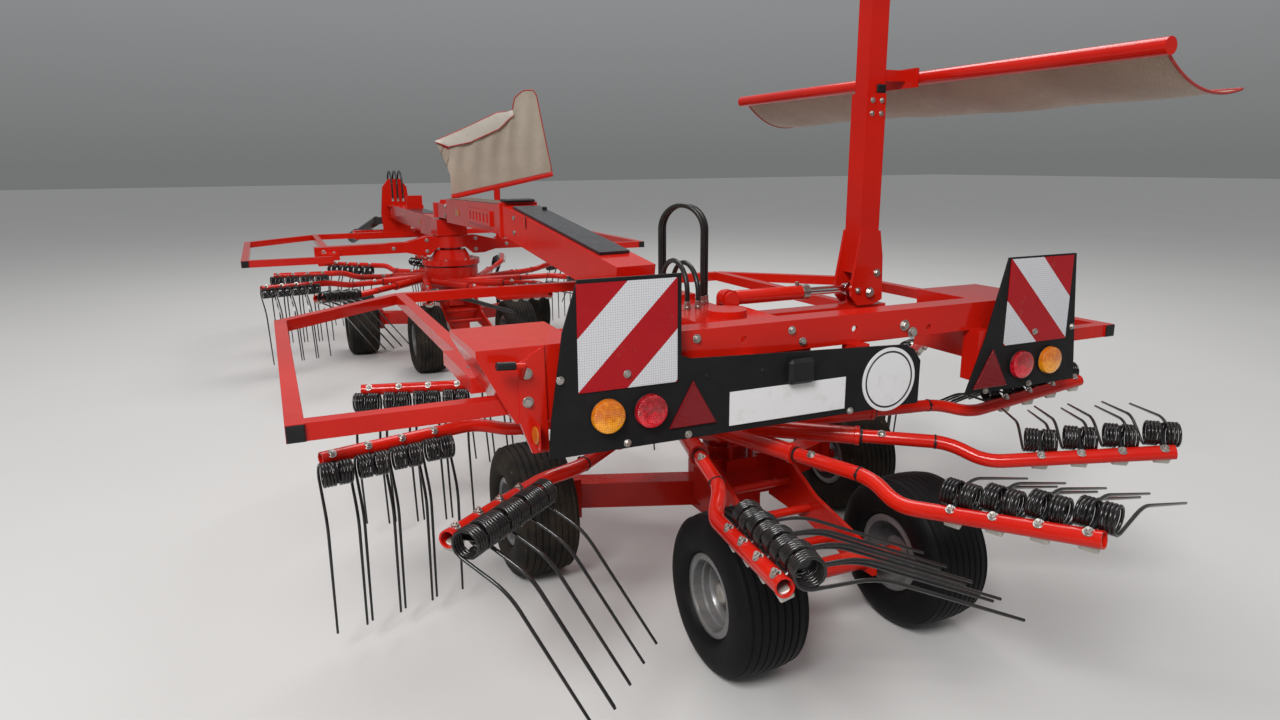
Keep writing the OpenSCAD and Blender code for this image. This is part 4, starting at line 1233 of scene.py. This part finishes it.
def front_flap():
    """A thin closed layer over the sheet, with red trim along its lower edge."""
    spans = len(FLAP_LOW) - 1
    rows = []
    for j in range(FLAP_ACROSS + 1):
        t = j / FLAP_ACROSS
        row = []
        for i in range(spans * FLAP_PER_SPAN + 1):
            k = min(i // FLAP_PER_SPAN, spans - 1)
            u = i / FLAP_PER_SPAN - k
            low = Vector(FLAP_LOW[k]).lerp(Vector(FLAP_LOW[k + 1]), u)
            top = Vector(FLAP_TOP[k]).lerp(Vector(FLAP_TOP[k + 1]), u)
            at = top.lerp(low, t)
            out = 0.006 + 0.014 * math.sin(math.pi * 0.5 * t) + 0.0035 * math.sin(i * 1.1) * t
            row.append(front(at.x, FRONT_Y - out, at.y))
        rows.append(row)
    back = [[p + Vector((0, 0.0018, 0)) for p in row] for row in rows]
    left = [[row[0] for row in layer] for layer in (rows, back)]
    right = [[row[-1] for row in layer] for layer in (back, rows)]
    flap = Shape().add(grid(rows))
    flap.add(flipped(grid(back)))
    for strip in ([back[0], rows[0]], [rows[-1], back[-1]], right, left):
        flap.add(grid(strip))
    dressed("front_curtain_flap", "front_curtain", [tarp_flap], flap, CLOTH_ANGLE)
    trim("front_flap_trim", "front_curtain", (rows[-1], 0.0042))


rear_cloth()
front_cloth()
front_flap()

# Floor, sky and area lights: name, place, aim, size, watts
LIGHTS = (("key", (-5, -8, 7), (0, -2, 0.6), 3.0, 800), ("top", (2, 2, 8), (0, 0, 0), 5.0, 430))


def make_floor():
    half = 60
    corners = [(-half, -half, 0), (half, -half, 0), (half, half, 0), (-half, half, 0)]
    n = Nodes("pale_floor")
    n.colour(n.mix(n.noise(0.6, 3), (0.5, 0.49, 0.475), (0.54, 0.53, 0.515)))
    n.set("Roughness", 0.8)
    piece = Shape().add((corners, [(0, 1, 2, 3)])).build("floor", [n.material])


def make_sky():
    world = bpy.data.worlds.new("sky")
    bpy.context.scene.world = world
    world.use_nodes = True
    tree = world.node_tree
    back = tree.nodes["Background"]
    coords = tree.nodes.new("ShaderNodeTexCoord")
    split = tree.nodes.new("ShaderNodeSeparateXYZ")
    ramp = tree.nodes.new("ShaderNodeValToRGB")
    tree.links.new(coords.outputs["Generated"], split.inputs[0])
    tree.links.new(split.outputs[2], ramp.inputs[0])
    low, high = ramp.color_ramp.elements
    low.position = 0.0
    low.color = (0.34, 0.35, 0.35, 1)
    high.position = 0.6
    high.color = (0.95, 0.97, 1.0, 1)
    tree.links.new(ramp.outputs[0], back.inputs[0])
    back.inputs[1].default_value = 0.5


def make_lights():
    for name, at, aim, size, watts in LIGHTS:
        data = bpy.data.lights.new(name, "AREA")
        data.size = size
        data.energy = watts
        light = new_object(name, data)
        light.location = at
        light.rotation_euler = (Vector(aim) - Vector(at)).to_track_quat("-Z", "Y").to_euler()


make_floor()
make_sky()
make_lights()
bpy.context.scene.view_settings.view_transform = "Standard"
bpy.context.scene.view_settings.look = "None"
